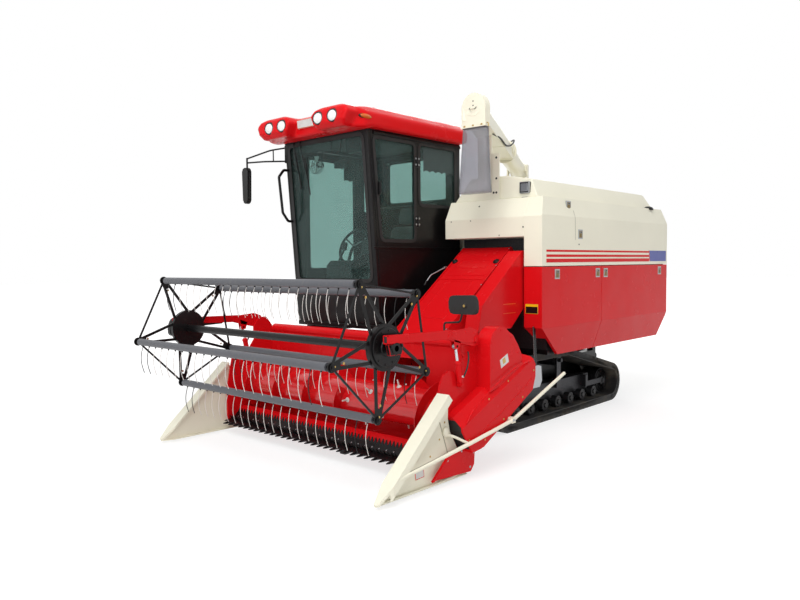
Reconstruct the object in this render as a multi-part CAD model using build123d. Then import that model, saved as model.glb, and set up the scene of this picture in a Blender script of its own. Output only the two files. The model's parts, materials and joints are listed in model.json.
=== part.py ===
from build123d import *
import math
import os

# Tracked rice combine harvester, millimetres. +Z is up, the machine drives towards -Y, and +X is its left
# side. The origin is on the ground under the middle of the machine.

# ---------------------------------------------------------------- driving dimensions
FIT = 0.3                   # gap left between pieces that seat on each other
RUNNING = 0.08              # radial clearance of pins and shafts in their bores

# undercarriage
TRACK_GAUGE = 1140
TRACK_WIDTH = 450
BELT = 45                   # thickness of the rubber belt
LUG = 25                    # height of a lug on the belt
LUG_PITCH = 90
LUG_BASE = 66
LUG_TIP = 52
ROLLER_R = 60
ROLLER_COUNT = 8
IDLER_R = 140
SPROCKET_R = 170
SPROCKET_TEETH = 12
TREAD = BELT + LUG
IDLER_Y = 1970
SPROCKET_Y, SPROCKET_Z = -300, 435
CARRIER_Y, CARRIER_Z = 1000, 545
FRONT_ROLLER_Y = -90

# frame
RAIL_W = 80
RAIL_CLEARANCE = 25         # between a rail and its track
RAIL_X = (TRACK_GAUGE - TRACK_WIDTH - RAIL_W) / 2 - RAIL_CLEARANCE
RAIL_Z0, RAIL_Z1 = 380, 480
RAIL_FRONT = -150
DECK_Z0, DECK_Z1 = 700, 745
DECK_LEFT, DECK_RIGHT = 1000, -1050

# body
BODY_LEFT = 1144            # outer face of the threshing side
BODY_RIGHT = -1144
BODY_FRONT = -92
BODY_REAR = 2631
BODY_TOP = 2135
BODY_FLOOR = 700
SKIRT_Z = 973               # where the lower chamfer starts
SHOULDER_Z = 1967           # where the upper chamfer starts
SKIRT_IN = 94               # how far the lower chamfer leans in
SHOULDER_IN = 44
WAIST_Z = 1516              # joint between the white and the red panels
SEAM = 6
SHEET = 30                  # thickness of body panels
CORE_FRONT = 230            # front wall of the thresher and of the tank
CORE_REAR = 2520
RAIL_REAR = CORE_REAR
FAR = 9000                  # beyond every face of the machine
CORE_LEFT = 1000
CORE_SPLIT = 60             # thresher to the left of it, tank and engine to the right
RED_SEAM_Y = 1022
WING_X0, WING_Z0 = 75, 1780
CHEEK_X = 962

# cab
CAB_RIGHT, CAB_LEFT = -1130, 0
CAB_WALL = 36
CAB_FLOOR_Z = 1000
CAB_ROOF_Z = 2735
ROOF_HEIGHT = 222
CAB_REAR = 240
CAB_FRONT_TOP, CAB_FRONT_LOW = -1070, -932
SILL_Z = 1400               # lower edge of the windscreen
GLASS = 6
ROOF_OVER = 70
ROOF_FRONT, ROOF_REAR = -1360, 330

# header and feeder house; the header tilts about the feeder's upper shaft
PIVOT_Y, PIVOT_Z = 10, 1435
PIVOT_R = 30
FEEDER_X0, FEEDER_X1 = 200, 750
FEEDER_DEPTH = 380
FEEDER_SLOPE = 36
FEEDER_SHEET = 18
HEADER_HALF = 1245
HEADER_SHEET = 14
AUGER_Y, AUGER_Z = -1420, 460
AUGER_TUBE_R, AUGER_R = 150, 235
AUGER_PIN_R = 25
AUGER_GAP = 20
FLIGHT_PITCH, FLIGHT_STEPS, FLIGHT_T = 400, 12, 8
WALL_Y = AUGER_Y + AUGER_R + AUGER_GAP
WALL_TOP = 900
KNIFE_Y, KNIFE_Z = -1660, 112
GUARD_TIP_Y = -1800
GUARD_PITCH = 76.2

# reel
REEL_Y, REEL_Z = -2132, 1006
REEL_R = 475
REEL_BARS = 5
REEL_PHASE = 62.33
REEL_HALF = HEADER_HALF - 75
BAR_R = 28
BAR_PIN_R = 14
TINE_PITCH, TINE_LENGTH, TINE_W = 100, 215, 6
REEL_SHAFT_R, REEL_PIN_R = 30, 20
SPIDER_T = 10
SPIDER_X = HEADER_HALF - 60
ARM_W = 40
ARM_X = HEADER_HALF + 37
ARM_Y, ARM_Z = -1280, 996

# grain unloader
UNLOAD_X, UNLOAD_Y, UNLOAD_Z = -470, 2020, 2690
HEAD_X, HEAD_Y = 642, -400
HEAD_Z = UNLOAD_Z + 215     # the boom rises towards its head
HEAD_WIDTH, HEAD_DEPTH, HEAD_DROP = 256, 72, 170
HEAD_LOW = HEAD_Z - HEAD_DROP
CHUTE_LENGTH, CHUTE_FLARE, CHUTE_WALL = 570, 70, 5
UNLOAD_R = 98


# ---------------------------------------------------------------- helpers
def prism(points, axis, start, stop):
    """Solid with an outline in the two other axes, in X, Y, Z order, swept along one axis."""
    place = {"x": lambda a, b: (start, a, b), "y": lambda a, b: (a, start, b),
             "z": lambda a, b: (a, b, start)}[axis]
    along = {"x": (1, 0, 0), "y": (0, 1, 0), "z": (0, 0, 1)}[axis]
    outline = Polyline(*[place(a, b) for a, b in points], close=True)
    return extrude(make_face(outline), amount=stop - start, dir=along).solid()


def block(x0, x1, y0, y1, z0, z1):
    return Solid.make_box(x1 - x0, y1 - y0, z1 - z0, Plane((x0, y0, z0)))


def rod(start, end, radius):
    start, end = Vector(*start), Vector(*end)
    return Solid.make_cylinder(radius, (end - start).length, Plane(origin=start, z_dir=end - start))


def bar(start, end, wide, deep, side=(1, 0, 0)):
    """Straight bar of rectangular section, wide along the side direction."""
    start, end = Vector(*start), Vector(*end)
    plane = Plane(origin=start, x_dir=Vector(*side), z_dir=end - start)
    return extrude(plane * Rectangle(wide, deep), amount=(end - start).length).solid()


def bent_tube(points, radius, bend):
    """Round tube through the points, with an arc at each corner."""
    path = FilletPolyline(*points, radius=bend)
    start = Vector(*points[0])
    section = Plane(origin=start, z_dir=Vector(*points[1]) - start) * Circle(radius)
    return sweep(section, path=path).solid()


def join(first, *rest):
    return first.fuse(*rest).clean() if rest else first


def cut(body, *tools):
    return body.cut(*tools)


def mirrored(shape):
    return shape.mirror(Plane.YZ)


def both(shape):
    """The shape and its mirror image on the other side of the machine."""
    return [shape, mirrored(shape)]


def polar(radius, degrees):
    return radius * math.cos(math.radians(degrees)), radius * math.sin(math.radians(degrees))


# ---------------------------------------------------------------- tracks
def wheels():
    """Centre and radius of each wheel inside the belt, in the order the belt runs: y, z, radius."""
    return [(IDLER_Y, IDLER_R + TREAD, IDLER_R), (CARRIER_Y, CARRIER_Z, ROLLER_R),
            (SPROCKET_Y, SPROCKET_Z, SPROCKET_R), (FRONT_ROLLER_Y, ROLLER_R + TREAD, ROLLER_R)]


def tangent_angles():
    """Angle of the outward normal on each straight run that follows a wheel."""
    rounds = wheels()
    angles = []
    for (y0, z0, r0), (y1, z1, r1) in zip(rounds, rounds[1:] + rounds[:1]):
        run = math.hypot(y1 - y0, z1 - z0)
        angles.append(math.atan2(z1 - z0, y1 - y0) - math.pi / 2 + math.asin((r0 - r1) / run))
    return angles


def belt_spans():
    """The belt's line as spans: wheel, first and last normal angle, arc length, straight length."""
    rounds, angles = wheels(), tangent_angles()
    spans = []
    for index, (y, z, r) in enumerate(rounds):
        first, last = angles[index - 1], angles[index]
        turn = (last - first) % (2 * math.pi)
        y1, z1, r1 = rounds[(index + 1) % len(rounds)]
        straight = math.sqrt((y1 - y) ** 2 + (z1 - z) ** 2 - (r - r1) ** 2)
        spans.append((y, z, r, first, turn, (r + BELT) * turn, straight))
    return spans


def belt_point(travel, height):
    """Point at a distance along the belt's outer line, at a height above its inner face."""
    for y, z, r, first, turn, arc, straight in belt_spans():
        if travel <= arc:
            angle = first + turn * travel / arc
            return y + (r + height) * math.cos(angle), z + (r + height) * math.sin(angle)
        travel -= arc
        if travel <= straight:
            angle = first + turn
            return (y + (r + height) * math.cos(angle) - travel * math.sin(angle),
                    z + (r + height) * math.sin(angle) + travel * math.cos(angle))
        travel -= straight
    return belt_point(0, height)


def belt_length():
    return sum(arc + straight for *_, arc, straight in belt_spans())


def belt_inner_wire(x):
    """Inner line of the belt: true arcs on the wheels and straight runs between them."""
    edges = []
    spans = belt_spans()
    for index, (y, z, r, first, turn, _, _) in enumerate(spans):
        on = [(x, y + r * math.cos(first + turn * f), z + r * math.sin(first + turn * f))
              for f in (0, 0.5, 1)]
        edges.append(ThreePointArc(*on))
        y1, z1, r1, first1, *_ = spans[(index + 1) % len(spans)]
        edges.append(Line(on[2], (x, y1 + r1 * math.cos(first1), z1 + r1 * math.sin(first1))))
    return Wire(edges)


def track():
    x0 = (TRACK_GAUGE - TRACK_WIDTH) / 2
    count = round(belt_length() / LUG_PITCH)
    pitch = belt_length() / count
    outline = []
    for index in range(count):
        middle = (index + 0.5) * pitch
        for offset, height in ((-LUG_BASE, BELT), (-LUG_TIP, TREAD), (LUG_TIP, TREAD), (LUG_BASE, BELT)):
            y, z = belt_point(middle + offset / 2, height)
            outline.append((x0, y, z))
    face = Face(Wire(Polyline(*outline, close=True).edges()), [belt_inner_wire(x0)])
    return extrude(face, amount=TRACK_WIDTH, dir=(1, 0, 0)).solid()


def wheel_on_axle(y, z, radius, wheel_w, axle_half, axle_r):
    x = TRACK_GAUGE / 2
    wheel = rod((x - wheel_w / 2, y, z), (x + wheel_w / 2, y, z), radius - FIT)
    return join(wheel, rod((x - axle_half, y, z), (x + axle_half, y, z), axle_r))


ROLLER_HALF, ROLLER_W, AXLE_R, FRAME_HALF = 150, 60, 20, 50
IDLER_HALF, IDLER_AXLE_R = 90, 28


def roller_places():
    step = (IDLER_Y - 2 * IDLER_R - FRONT_ROLLER_Y) / (ROLLER_COUNT - 1)
    return [FRONT_ROLLER_Y + step * index for index in range(ROLLER_COUNT)]


def track_rollers():
    """Twin rollers that carry the machine on the lower run, and one that holds up the upper run."""
    x, z = TRACK_GAUGE / 2, ROLLER_R + TREAD
    rollers = []
    for y in roller_places():
        pair = [rod((x + side * (ROLLER_HALF - ROLLER_W), y, z), (x + side * ROLLER_HALF, y, z),
                    ROLLER_R - FIT)
                for side in (-1, 1)]
        rollers.append(join(rod((x - ROLLER_HALF, y, z), (x + ROLLER_HALF, y, z), AXLE_R), *pair))
    rollers.append(wheel_on_axle(CARRIER_Y, CARRIER_Z, ROLLER_R, 2 * IDLER_HALF, ROLLER_HALF, AXLE_R))
    return [piece for roller in rollers for piece in both(roller)]


def track_frame():
    """Beam inside the belt with bores for the roller axles, and forks for the idler and top roller."""
    x, z = TRACK_GAUGE / 2, ROLLER_R + TREAD
    beam_top = 320
    places = roller_places()
    beam = block(x - FRAME_HALF, x + FRAME_HALF, places[0] - 45, places[-1] + 60, z - 40, beam_top)
    idler_z = IDLER_R + TREAD
    fork_in, fork_out = IDLER_HALF + 10, IDLER_HALF + 30
    fork = [block(x + min(a, b), x + max(a, b), places[-1] - 120, IDLER_Y + 50, idler_z - 15, idler_z + 40)
            for a, b in ((fork_in, fork_out), (-fork_out, -fork_in))]
    bridge = block(x - fork_out, x + fork_out, places[-1] - 120, places[-1] - 75, z + ROLLER_R + 8, beam_top)
    post_in, post_out = IDLER_HALF + 10, IDLER_HALF + 26
    posts = [block(x + min(a, b), x + max(a, b), CARRIER_Y - 40, CARRIER_Y + 40, beam_top - 60,
                   CARRIER_Z + 35)
             for a, b in ((post_in, post_out), (-post_out, -post_in))]
    shelf = block(x - post_out, x + post_out, CARRIER_Y - 40, CARRIER_Y + 40, beam_top - 60, beam_top)
    frame = join(beam, bridge, shelf, *fork, *posts)
    bores = [rod((x - 80, y, z), (x + 80, y, z), AXLE_R + FIT) for y in places]
    bores.append(rod((x - 200, IDLER_Y, idler_z), (x + 200, IDLER_Y, idler_z), IDLER_AXLE_R + FIT))
    bores.append(rod((x - 200, CARRIER_Y, CARRIER_Z), (x + 200, CARRIER_Y, CARRIER_Z), AXLE_R + FIT))
    return cut(frame, *bores)


def idler():
    z = IDLER_R + TREAD
    return wheel_on_axle(IDLER_Y, z, IDLER_R, 2 * IDLER_HALF, IDLER_HALF + 40, IDLER_AXLE_R)


def sprocket():
    x = TRACK_GAUGE / 2
    step = 360 / SPROCKET_TEETH
    outline = []
    for tooth in range(SPROCKET_TEETH):
        for radius, at in ((SPROCKET_R - 22, -0.32), (SPROCKET_R - FIT, -0.16), (SPROCKET_R - FIT, 0.16),
                           (SPROCKET_R - 22, 0.32)):
            dy, dz = polar(radius, (tooth + at) * step)
            outline.append((SPROCKET_Y + dy, SPROCKET_Z + dz))
    hub = rod((x - 100, SPROCKET_Y, SPROCKET_Z), (x + 60, SPROCKET_Y, SPROCKET_Z), 80)
    return join(prism(outline, "x", x - FRAME_HALF, x + FRAME_HALF), hub)


# ---------------------------------------------------------------- chassis
HITCH_Y, HITCH_Z, HITCH_R = RAIL_REAR + 55, 470, 15
TIE_Z, TIE_R = 400, 18      # lashing eyes beside the tow eye
EYE_T = 20                  # thickness of the plates with the eyes
LIFT_X = RAIL_X - 15        # header lift cylinder
LIFT_BASE_Y, LIFT_BASE_Z = -330, 235
LIFT_EYE_Y, LIFT_EYE_Z = -800, 560
LIFT_PIN_R, LIFT_EYE_R, LIFT_EYE_W = 16, 30, 40
CASE_HALF, CASE_FRONT = RAIL_X - 55, -430
PLATE_X = RAIL_X + 30       # plates at the rails' front ends


def lift_ears(y, z, away, x=LIFT_X):
    """Two ears with a pin between them; away is the centre of the piece that the ears stand on."""
    ears = []
    for side in (-1, 1):
        inner, outer = sorted((x + side * (LIFT_EYE_W / 2 + 2), x + side * (LIFT_EYE_W / 2 + 14)))
        ears.append(join(rod((inner, y, z), (outer, y, z), LIFT_EYE_R),
                         prism(strip((y, z), away, LIFT_EYE_R), "x", inner, outer)))
    pin = rod((x - LIFT_EYE_W / 2 - 14, y, z), (x + LIFT_EYE_W / 2 + 14, y, z), LIFT_PIN_R)
    return join(pin, *ears)


def strip(start, end, half):
    """Outline of a straight strip between two points."""
    run = math.hypot(end[0] - start[0], end[1] - start[1])
    ny, nz = -(end[1] - start[1]) / run * half, (end[0] - start[0]) / run * half
    return [(start[0] + ny, start[1] + nz), (end[0] + ny, end[1] + nz),
            (end[0] - ny, end[1] - nz), (start[0] - ny, start[1] - nz)]


def chassis():
    cross_z0 = 300
    rails = [block(side * RAIL_X - RAIL_W / 2, side * RAIL_X + RAIL_W / 2, RAIL_FRONT, RAIL_REAR, RAIL_Z0,
                   RAIL_Z1)
             for side in (-1, 1)]
    inner = TRACK_GAUGE / 2 - FRAME_HALF
    crosses = [block(-inner, inner, y, y + 90, 210, cross_z0) for y in (190, 1450)]
    pads = [block(side * RAIL_X - RAIL_W / 2, side * RAIL_X + RAIL_W / 2, y, y + 90, cross_z0, RAIL_Z0)
            for side in (-1, 1) for y in (190, 1450)]
    deck_rows = (CORE_FRONT + 10, 1250, CORE_REAR - 70)
    deck = [block(DECK_RIGHT, DECK_LEFT, y, y + 70, DECK_Z0, DECK_Z1) for y in deck_rows]
    edges = [block(x, x + 60, deck_rows[0], deck_rows[2] + 70, DECK_Z0, DECK_Z1)
             for x in (DECK_RIGHT, -330, -60, 270, DECK_LEFT - 60)]
    posts = [block(side * RAIL_X - RAIL_W / 2, side * RAIL_X + RAIL_W / 2, y, y + 70, RAIL_Z1, DECK_Z0)
             for side in (-1, 1) for y in (deck_rows[0], deck_rows[1], RAIL_REAR - 70)]
    ties = [block(-RAIL_X, RAIL_X, y, y + 80, RAIL_Z0, RAIL_Z1) for y in (RAIL_FRONT, 1100, RAIL_REAR - 80)]
    cab_arms = []
    for x in (CAB_RIGHT + 60, CAB_LEFT - 150):
        arm = block(x, x + 70, CAB_FRONT_LOW + 60, CORE_FRONT + 80, 880, CAB_FLOOR_Z - 40)
        leg = block(x, x + 70, CORE_FRONT + 10, CORE_FRONT + 80, DECK_Z1, 880)
        cab_arms += [arm, leg]
    front_plates = [prism([(-60, RAIL_Z1), (RAIL_FRONT, RAIL_Z1), (RAIL_FRONT, RAIL_Z0), (-230, 320),
                           (-290, 275),
                           (-290, 200), (-215, 200), (-60, 330)], "x", side * PLATE_X - 10,
                           side * PLATE_X + 10)
                    for side in (-1, 1)]
    ears = lift_ears(LIFT_BASE_Y, LIFT_BASE_Z, (LIFT_BASE_Y + 80, LIFT_BASE_Z))
    front_cross = block(-PLATE_X, PLATE_X, LIFT_BASE_Y + 45, LIFT_BASE_Y + 115, 200, 272)
    eyes = [rear_eye(0, HITCH_Z, HITCH_R), rear_eye(RAIL_X, TIE_Z, TIE_R), rear_eye(-RAIL_X, TIE_Z, TIE_R)]
    return join(rails[0], rails[1], *crosses, *pads, *deck, *edges, *posts, *ties, *cab_arms,
                *front_plates, front_cross, ears, *eyes, *right_posts())


def rear_eye(x, z, radius):
    """Upright plate behind the rear cross member with a bore across it."""
    plate = join(block(x - EYE_T / 2, x + EYE_T / 2, RAIL_REAR - 5, HITCH_Y, z - 35, z + 35),
                 rod((x - EYE_T / 2, HITCH_Y, z), (x + EYE_T / 2, HITCH_Y, z), 35))
    return cut(plate, rod((x - EYE_T, HITCH_Y, z), (x + EYE_T, HITCH_Y, z), radius))


def transmission():
    """Gear case between the rails' front ends, with a drive housing out to each sprocket."""
    case = block(-CASE_HALF, CASE_HALF, CASE_FRONT, RAIL_FRONT - FIT, RAIL_Z0 - 20, 640)
    hub_x = TRACK_GAUGE / 2 - 100 - FIT
    housing = rod((-hub_x, SPROCKET_Y, SPROCKET_Z), (hub_x, SPROCKET_Y, SPROCKET_Z), 62)
    return join(case, housing)


# ---------------------------------------------------------------- body
def side_profile(grow=0.0):
    """Outline of the body from the side: y, z; grow moves the front, top and rear faces out."""
    return [(340 - grow, BODY_FLOOR), (BODY_FRONT - grow, 977), (BODY_FRONT - grow, 1960),
            (0 - grow, BODY_TOP + grow), (2560 + grow, BODY_TOP + grow), (BODY_REAR + grow, 1985),
            (BODY_REAR + grow, 930), (2575 + grow, BODY_FLOOR)]


def cross_profile(inner_x, grow=0.0):
    """Outline of the left half of the body from the front: x, z, open to inner_x."""
    return [(inner_x, BODY_FLOOR), (BODY_LEFT - SKIRT_IN + grow, BODY_FLOOR), (BODY_LEFT + grow, SKIRT_Z),
            (BODY_LEFT + grow, SHOULDER_Z), (BODY_LEFT - SHOULDER_IN + grow, BODY_TOP + grow),
            (inner_x, BODY_TOP + grow)]


def side_shell():
    """Left side of the body: side, front cheek, rear return and deck strip, open inwards and below."""
    hull = prism(cross_profile(CHEEK_X), "y", BODY_FRONT - 10, BODY_REAR + 10)
    hull = hull.intersect(prism(side_profile(), "x", CHEEK_X - 10, BODY_LEFT + 10))
    inner = prism(cross_profile(CHEEK_X - 200, -SHEET), "y", BODY_FRONT - 100, BODY_REAR + 100)
    low = [(y, z - 60 if z == BODY_FLOOR else z) for y, z in side_profile(-SHEET)]
    inner = inner.intersect(prism(low, "x", CHEEK_X - 210, BODY_LEFT + 10))
    skirt = block(CHEEK_X - 200, BODY_LEFT - SKIRT_IN - SHEET, 340, 2560, BODY_FLOOR - 50, BODY_FLOOR + 60)
    return cut(solid_of(hull), solid_of(inner), skirt)


def solid_of(shape):
    """The largest solid of a result that may come as a list or a compound."""
    if isinstance(shape, (list, tuple)):
        found = [solid for item in shape for solid in item.solids()]
    else:
        found = shape.solids()
    return max(found, key=lambda solid: solid.volume)


def region(shape, y0, y1, z0, z1):
    return solid_of(shape.intersect(block(-FAR, FAR, y0, y1, z0, z1)))


def side_panels(shell):
    """White upper side and two red lower panels, cut from one shell along the real seams."""
    upper = region(shell, -FAR, FAR, WAIST_Z + SEAM / 2, FAR)
    front = region(shell, -FAR, RED_SEAM_Y - SEAM / 2, 0, WAIST_Z - SEAM / 2)
    rear = region(shell, RED_SEAM_Y + SEAM / 2, FAR, 0, WAIST_Z - SEAM / 2)
    return upper, front, rear


def thresher_core():
    """Closed threshing box, with the ledges that the left side panels hang on."""
    core = block(CORE_SPLIT + FIT, CORE_LEFT, CORE_FRONT, CORE_REAR, DECK_Z1, BODY_TOP - SHEET)
    ledges = [block(CORE_LEFT - 10, BODY_LEFT - SHEET, y, y + 60, WAIST_Z - 40, WAIST_Z + 40)
              for y in (420, 900, 1090, 2350)]
    return join(core, *ledges, *feeder_mounts())


def front_wing():
    """White hood over the feeder house, open below, that carries the cheek's line across."""
    hull = prism([(y, z) for y, z in ((BODY_FRONT, WING_Z0), (BODY_FRONT, 1960), (0, BODY_TOP),
                                      (CORE_FRONT - FIT, BODY_TOP), (CORE_FRONT - FIT, WING_Z0))],
                 "x", WING_X0, CHEEK_X - FIT)
    thick = 24
    hollow = prism([(y, z) for y, z in ((BODY_FRONT + thick, WING_Z0 - 50), (BODY_FRONT + thick, 1950),
                                        (14, BODY_TOP - thick - 6),
                                        (CORE_FRONT - thick, BODY_TOP - thick - 6),
                                        (CORE_FRONT - thick, WING_Z0 - 50))],
                   "x", WING_X0 + thick, CHEEK_X + 50)
    return cut(hull, hollow)


def top_deck():
    """White sheet that closes the body on top, behind the wing."""
    x0, x1 = BODY_RIGHT + SHOULDER_IN + 70, CHEEK_X - FIT
    tank_front = CAB_REAR + 90
    return prism([(x0, tank_front), (CORE_SPLIT, tank_front), (CORE_SPLIT, CORE_FRONT), (x1, CORE_FRONT),
                  (x1, CORE_REAR), (x0, CORE_REAR)], "z", BODY_TOP - SHEET + FIT, BODY_TOP)


HUMP_X0, HUMP_X1 = 110, 1030


def hump():
    """Raised white cover over the threshing drum and the tank's filler."""
    z0 = BODY_TOP + FIT
    sides = prism([(HUMP_X0, z0), (HUMP_X1, z0), (955, 2300), (683, 2350), (HUMP_X0 + 170, 2350)],
                  "y", 0, 2700)
    along = prism([(25, z0), (50, 2360), (640, 2360), (2180, 2346), (2400, 2290), (2500, z0)],
                  "x", HUMP_X0 - 10, HUMP_X1 + 10)
    return solid_of(sides.intersect(along))


def grain_tank():
    """Closed tank over the engine room, on the right behind the cab."""
    profile = [(CORE_SPLIT, WAIST_Z + SEAM / 2), (CORE_SPLIT, BODY_TOP - SHEET),
               (BODY_RIGHT + SHOULDER_IN + 8, BODY_TOP - SHEET), (BODY_RIGHT, SHOULDER_Z),
               (BODY_RIGHT, WAIST_Z + SEAM / 2)]
    return prism(profile, "y", CAB_REAR + 90, CORE_REAR)


def engine():
    return block(-980, -330, 480, 1240, DECK_Z1, 1460)


DOOR_Y0, DOOR_Y1 = 420, 1290        # radiator screen door on the right side
RIGHT_SKIN = BODY_RIGHT + SHEET
HINGE_PIN_R, HINGE_R = 6, 12


def right_posts():
    """Corner posts and top rail that carry the tank over the engine room."""
    posts = [block(x, x + 60, y, y + 60, DECK_Z1, WAIST_Z + SEAM / 2)
             for x in (DECK_RIGHT, -60) for y in (CAB_REAR + 95, DOOR_Y1 + 10, CORE_REAR - 60)]
    rail = block(DECK_RIGHT, DECK_RIGHT + 60, CAB_REAR + 95, CORE_REAR, WAIST_Z - 60, WAIST_Z + SEAM / 2)
    return [rail, *posts]


def hinge_knuckles(x, y, levels, height, reach):
    """Barrels on a door's edge, bored for their pins, each with a leaf that reaches to the door."""
    pieces = []
    for z in levels:
        barrel = rod((x, y, z), (x, y, z + height), HINGE_R)
        leaf = block(min(x, reach[0]), max(x, reach[0]), min(y, reach[1]), max(y, reach[1]), z, z + height)
        pieces.append(cut(join(barrel, leaf), rod((x, y, z - 1), (x, y, z + height + 1),
                                                  HINGE_PIN_R + RUNNING)))
    return pieces


def hinge_pins(x, y, levels, height, reach):
    """Pins that stand through the knuckles, held below by a barrel with a leaf on the fixed side."""
    pieces = []
    for z in levels:
        pin = rod((x, y, z - 30), (x, y, z + height), HINGE_PIN_R)
        barrel = rod((x, y, z - 30), (x, y, z - 2), HINGE_R)
        leaf = block(min(x, reach[0]), max(x, reach[0]), min(y, reach[1]), max(y, reach[1]), z - 30, z - 2)
        pieces.append(join(pin, barrel, leaf))
    return pieces


SCREEN_HINGE_X, SCREEN_HINGE_Y = BODY_RIGHT - 13, DOOR_Y1 + 8
SCREEN_LEVELS, SCREEN_H = (860, 1360), 60


def radiator_door():
    """Framed door with louvres across its opening, hinged at its rear edge."""
    z0, z1 = BODY_FLOOR + 50, WAIST_Z - SEAM / 2
    rim = 60
    frame = cut(block(BODY_RIGHT, RIGHT_SKIN, DOOR_Y0, DOOR_Y1, z0, z1),
                block(BODY_RIGHT - 5, RIGHT_SKIN + 5, DOOR_Y0 + rim, DOOR_Y1 - rim, z0 + rim, z1 - rim))
    louvres = []
    count = 12
    for index in range(count):
        z = z0 + rim + (index + 0.5) * (z1 - z0 - 2 * rim) / count
        louvres.append(prism([(BODY_RIGHT + 4, z - 16), (BODY_RIGHT + 8, z - 16), (RIGHT_SKIN - 4, z + 12),
                              (RIGHT_SKIN - 8, z + 12)], "y", DOOR_Y0 + rim - 5, DOOR_Y1 - rim + 5))
    knuckles = hinge_knuckles(SCREEN_HINGE_X, SCREEN_HINGE_Y, SCREEN_LEVELS, SCREEN_H,
                              (BODY_RIGHT + 10, DOOR_Y1 - 20))
    return join(frame, *louvres, *knuckles)


def right_panel():
    """Fixed red panel behind the screen door; its front edge carries the door's hinge pins."""
    y0 = DOOR_Y1 + 16
    z0, z1 = BODY_FLOOR + 50, WAIST_Z - SEAM / 2
    skin = block(BODY_RIGHT, RIGHT_SKIN, y0, CORE_REAR, z0, z1)
    stand = block(RIGHT_SKIN, DECK_RIGHT - FIT, DOOR_Y1 + 20, DOOR_Y1 + 60, 900, 1000)
    stand2 = block(RIGHT_SKIN, DECK_RIGHT - FIT, 2480, 2520, 900, 1000)
    pins = hinge_pins(SCREEN_HINGE_X, SCREEN_HINGE_Y, SCREEN_LEVELS, SCREEN_H, (BODY_RIGHT + 10, y0 + 20))
    return join(skin, stand, stand2, *pins)


def rear_cover():
    """Rear wall with a straw outlet low on the left and louvres on the right."""
    y0, y1 = CORE_REAR, BODY_REAR - 30
    wall = block(BODY_RIGHT + 20, CHEEK_X - FIT, y0, y1, BODY_FLOOR + 60, BODY_TOP - 90)
    outlet = block(140, 900, y0 + 12, y1 + 5, BODY_FLOOR + 110, 1330)
    vents = [block(-1000, -200, y1 - 12, y1 + 5, z, z + 28) for z in range(900, 1400, 60)]
    return cut(wall, outlet, *vents)


# ---------------------------------------------------------------- cab
def front_y(z):
    """Where the leaning front face of the cab stands at a height."""
    share = (z - CAB_FLOOR_Z) / (CAB_ROOF_Z - CAB_FLOOR_Z)
    return CAB_FRONT_LOW + (CAB_FRONT_TOP - CAB_FRONT_LOW) * share


def leaning(y_in, z0, z1, thick):
    """Section of a slab that leans with the cab's front, y_in behind the front face."""
    return [(front_y(z0) + y_in, z0), (front_y(z1) + y_in, z1), (front_y(z1) + y_in + thick, z1),
            (front_y(z0) + y_in + thick, z0)]


PILLAR = 58
SCREEN_X0, SCREEN_X1 = CAB_RIGHT + PILLAR, CAB_LEFT - PILLAR
SCREEN_TOP = CAB_ROOF_Z - 45


def cab_floor():
    profile = [(front_y(CAB_FLOOR_Z) , CAB_FLOOR_Z - 40), (front_y(CAB_FLOOR_Z), CAB_FLOOR_Z),
               (CAB_REAR, CAB_FLOOR_Z), (CAB_REAR, CAB_FLOOR_Z - 40)]
    return prism(profile, "x", CAB_RIGHT, CAB_LEFT)


def cab_front():
    slab = prism(leaning(0, CAB_FLOOR_Z + FIT, CAB_ROOF_Z, CAB_WALL), "x", CAB_RIGHT, CAB_LEFT)
    return cut(slab, block(SCREEN_X0, SCREEN_X1, -2000, 0, SILL_Z, SCREEN_TOP))


def windscreen():
    return prism(leaning(12, SILL_Z, SCREEN_TOP, GLASS), "x", SCREEN_X0, SCREEN_X1)


def side_wall_outline(z0, z1):
    back = CAB_WALL + FIT
    return [(front_y(z0) + back, z0), (front_y(z1) + back, z1), (CAB_REAR, z1), (CAB_REAR, z0)]


SIDE_WINDOWS = [  # front lower y, front upper y, rear y, sill z, top z
    (-905, -1000, -445, 1760, 2665),
    (-385, -385, 165, 2100, 2670),
]


def window_outline(front_low, front_high, rear, sill, top, grow=0.0):
    return [(front_low - grow, sill - grow), (rear + grow, sill - grow), (rear + grow, top + grow),
            (front_high - grow, top + grow)]


def cab_left_wall():
    wall = prism(side_wall_outline(CAB_FLOOR_Z + FIT, CAB_ROOF_Z), "x", CAB_LEFT - CAB_WALL, CAB_LEFT)
    holes = [prism(window_outline(*row), "x", CAB_LEFT - 100, CAB_LEFT + 100) for row in SIDE_WINDOWS]
    return cut(wall, *holes)


def cab_left_glass():
    x = CAB_LEFT - CAB_WALL / 2
    return [prism(window_outline(*row), "x", x, x + GLASS) for row in SIDE_WINDOWS]


def cab_rear_wall():
    y0 = CAB_REAR - CAB_WALL
    x0, x1 = CAB_RIGHT + CAB_WALL + FIT, CAB_LEFT - CAB_WALL - FIT
    wall = block(x0, x1, y0, CAB_REAR, CAB_FLOOR_Z + FIT, CAB_ROOF_Z)
    return cut(wall, block(x0 + 120, x1 - 120, y0 - 5, CAB_REAR + 5, 2190, 2640))


def cab_rear_glass():
    x0, x1 = CAB_RIGHT + CAB_WALL + FIT, CAB_LEFT - CAB_WALL - FIT
    y = CAB_REAR - CAB_WALL / 2
    return block(x0 + 120, x1 - 120, y, y + GLASS, 2190, 2640)


CAB_DOOR_Y0, CAB_DOOR_Y1, CAB_DOOR_Z0, CAB_DOOR_Z1 = -850, -80, 1040, 2680
CAB_HINGE_X, CAB_HINGE_Y = CAB_RIGHT - 13, CAB_DOOR_Y1 + 3
CAB_HINGE_LEVELS, CAB_HINGE_H = (1300, 2400), 60
DOOR_GAP = 6


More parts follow.
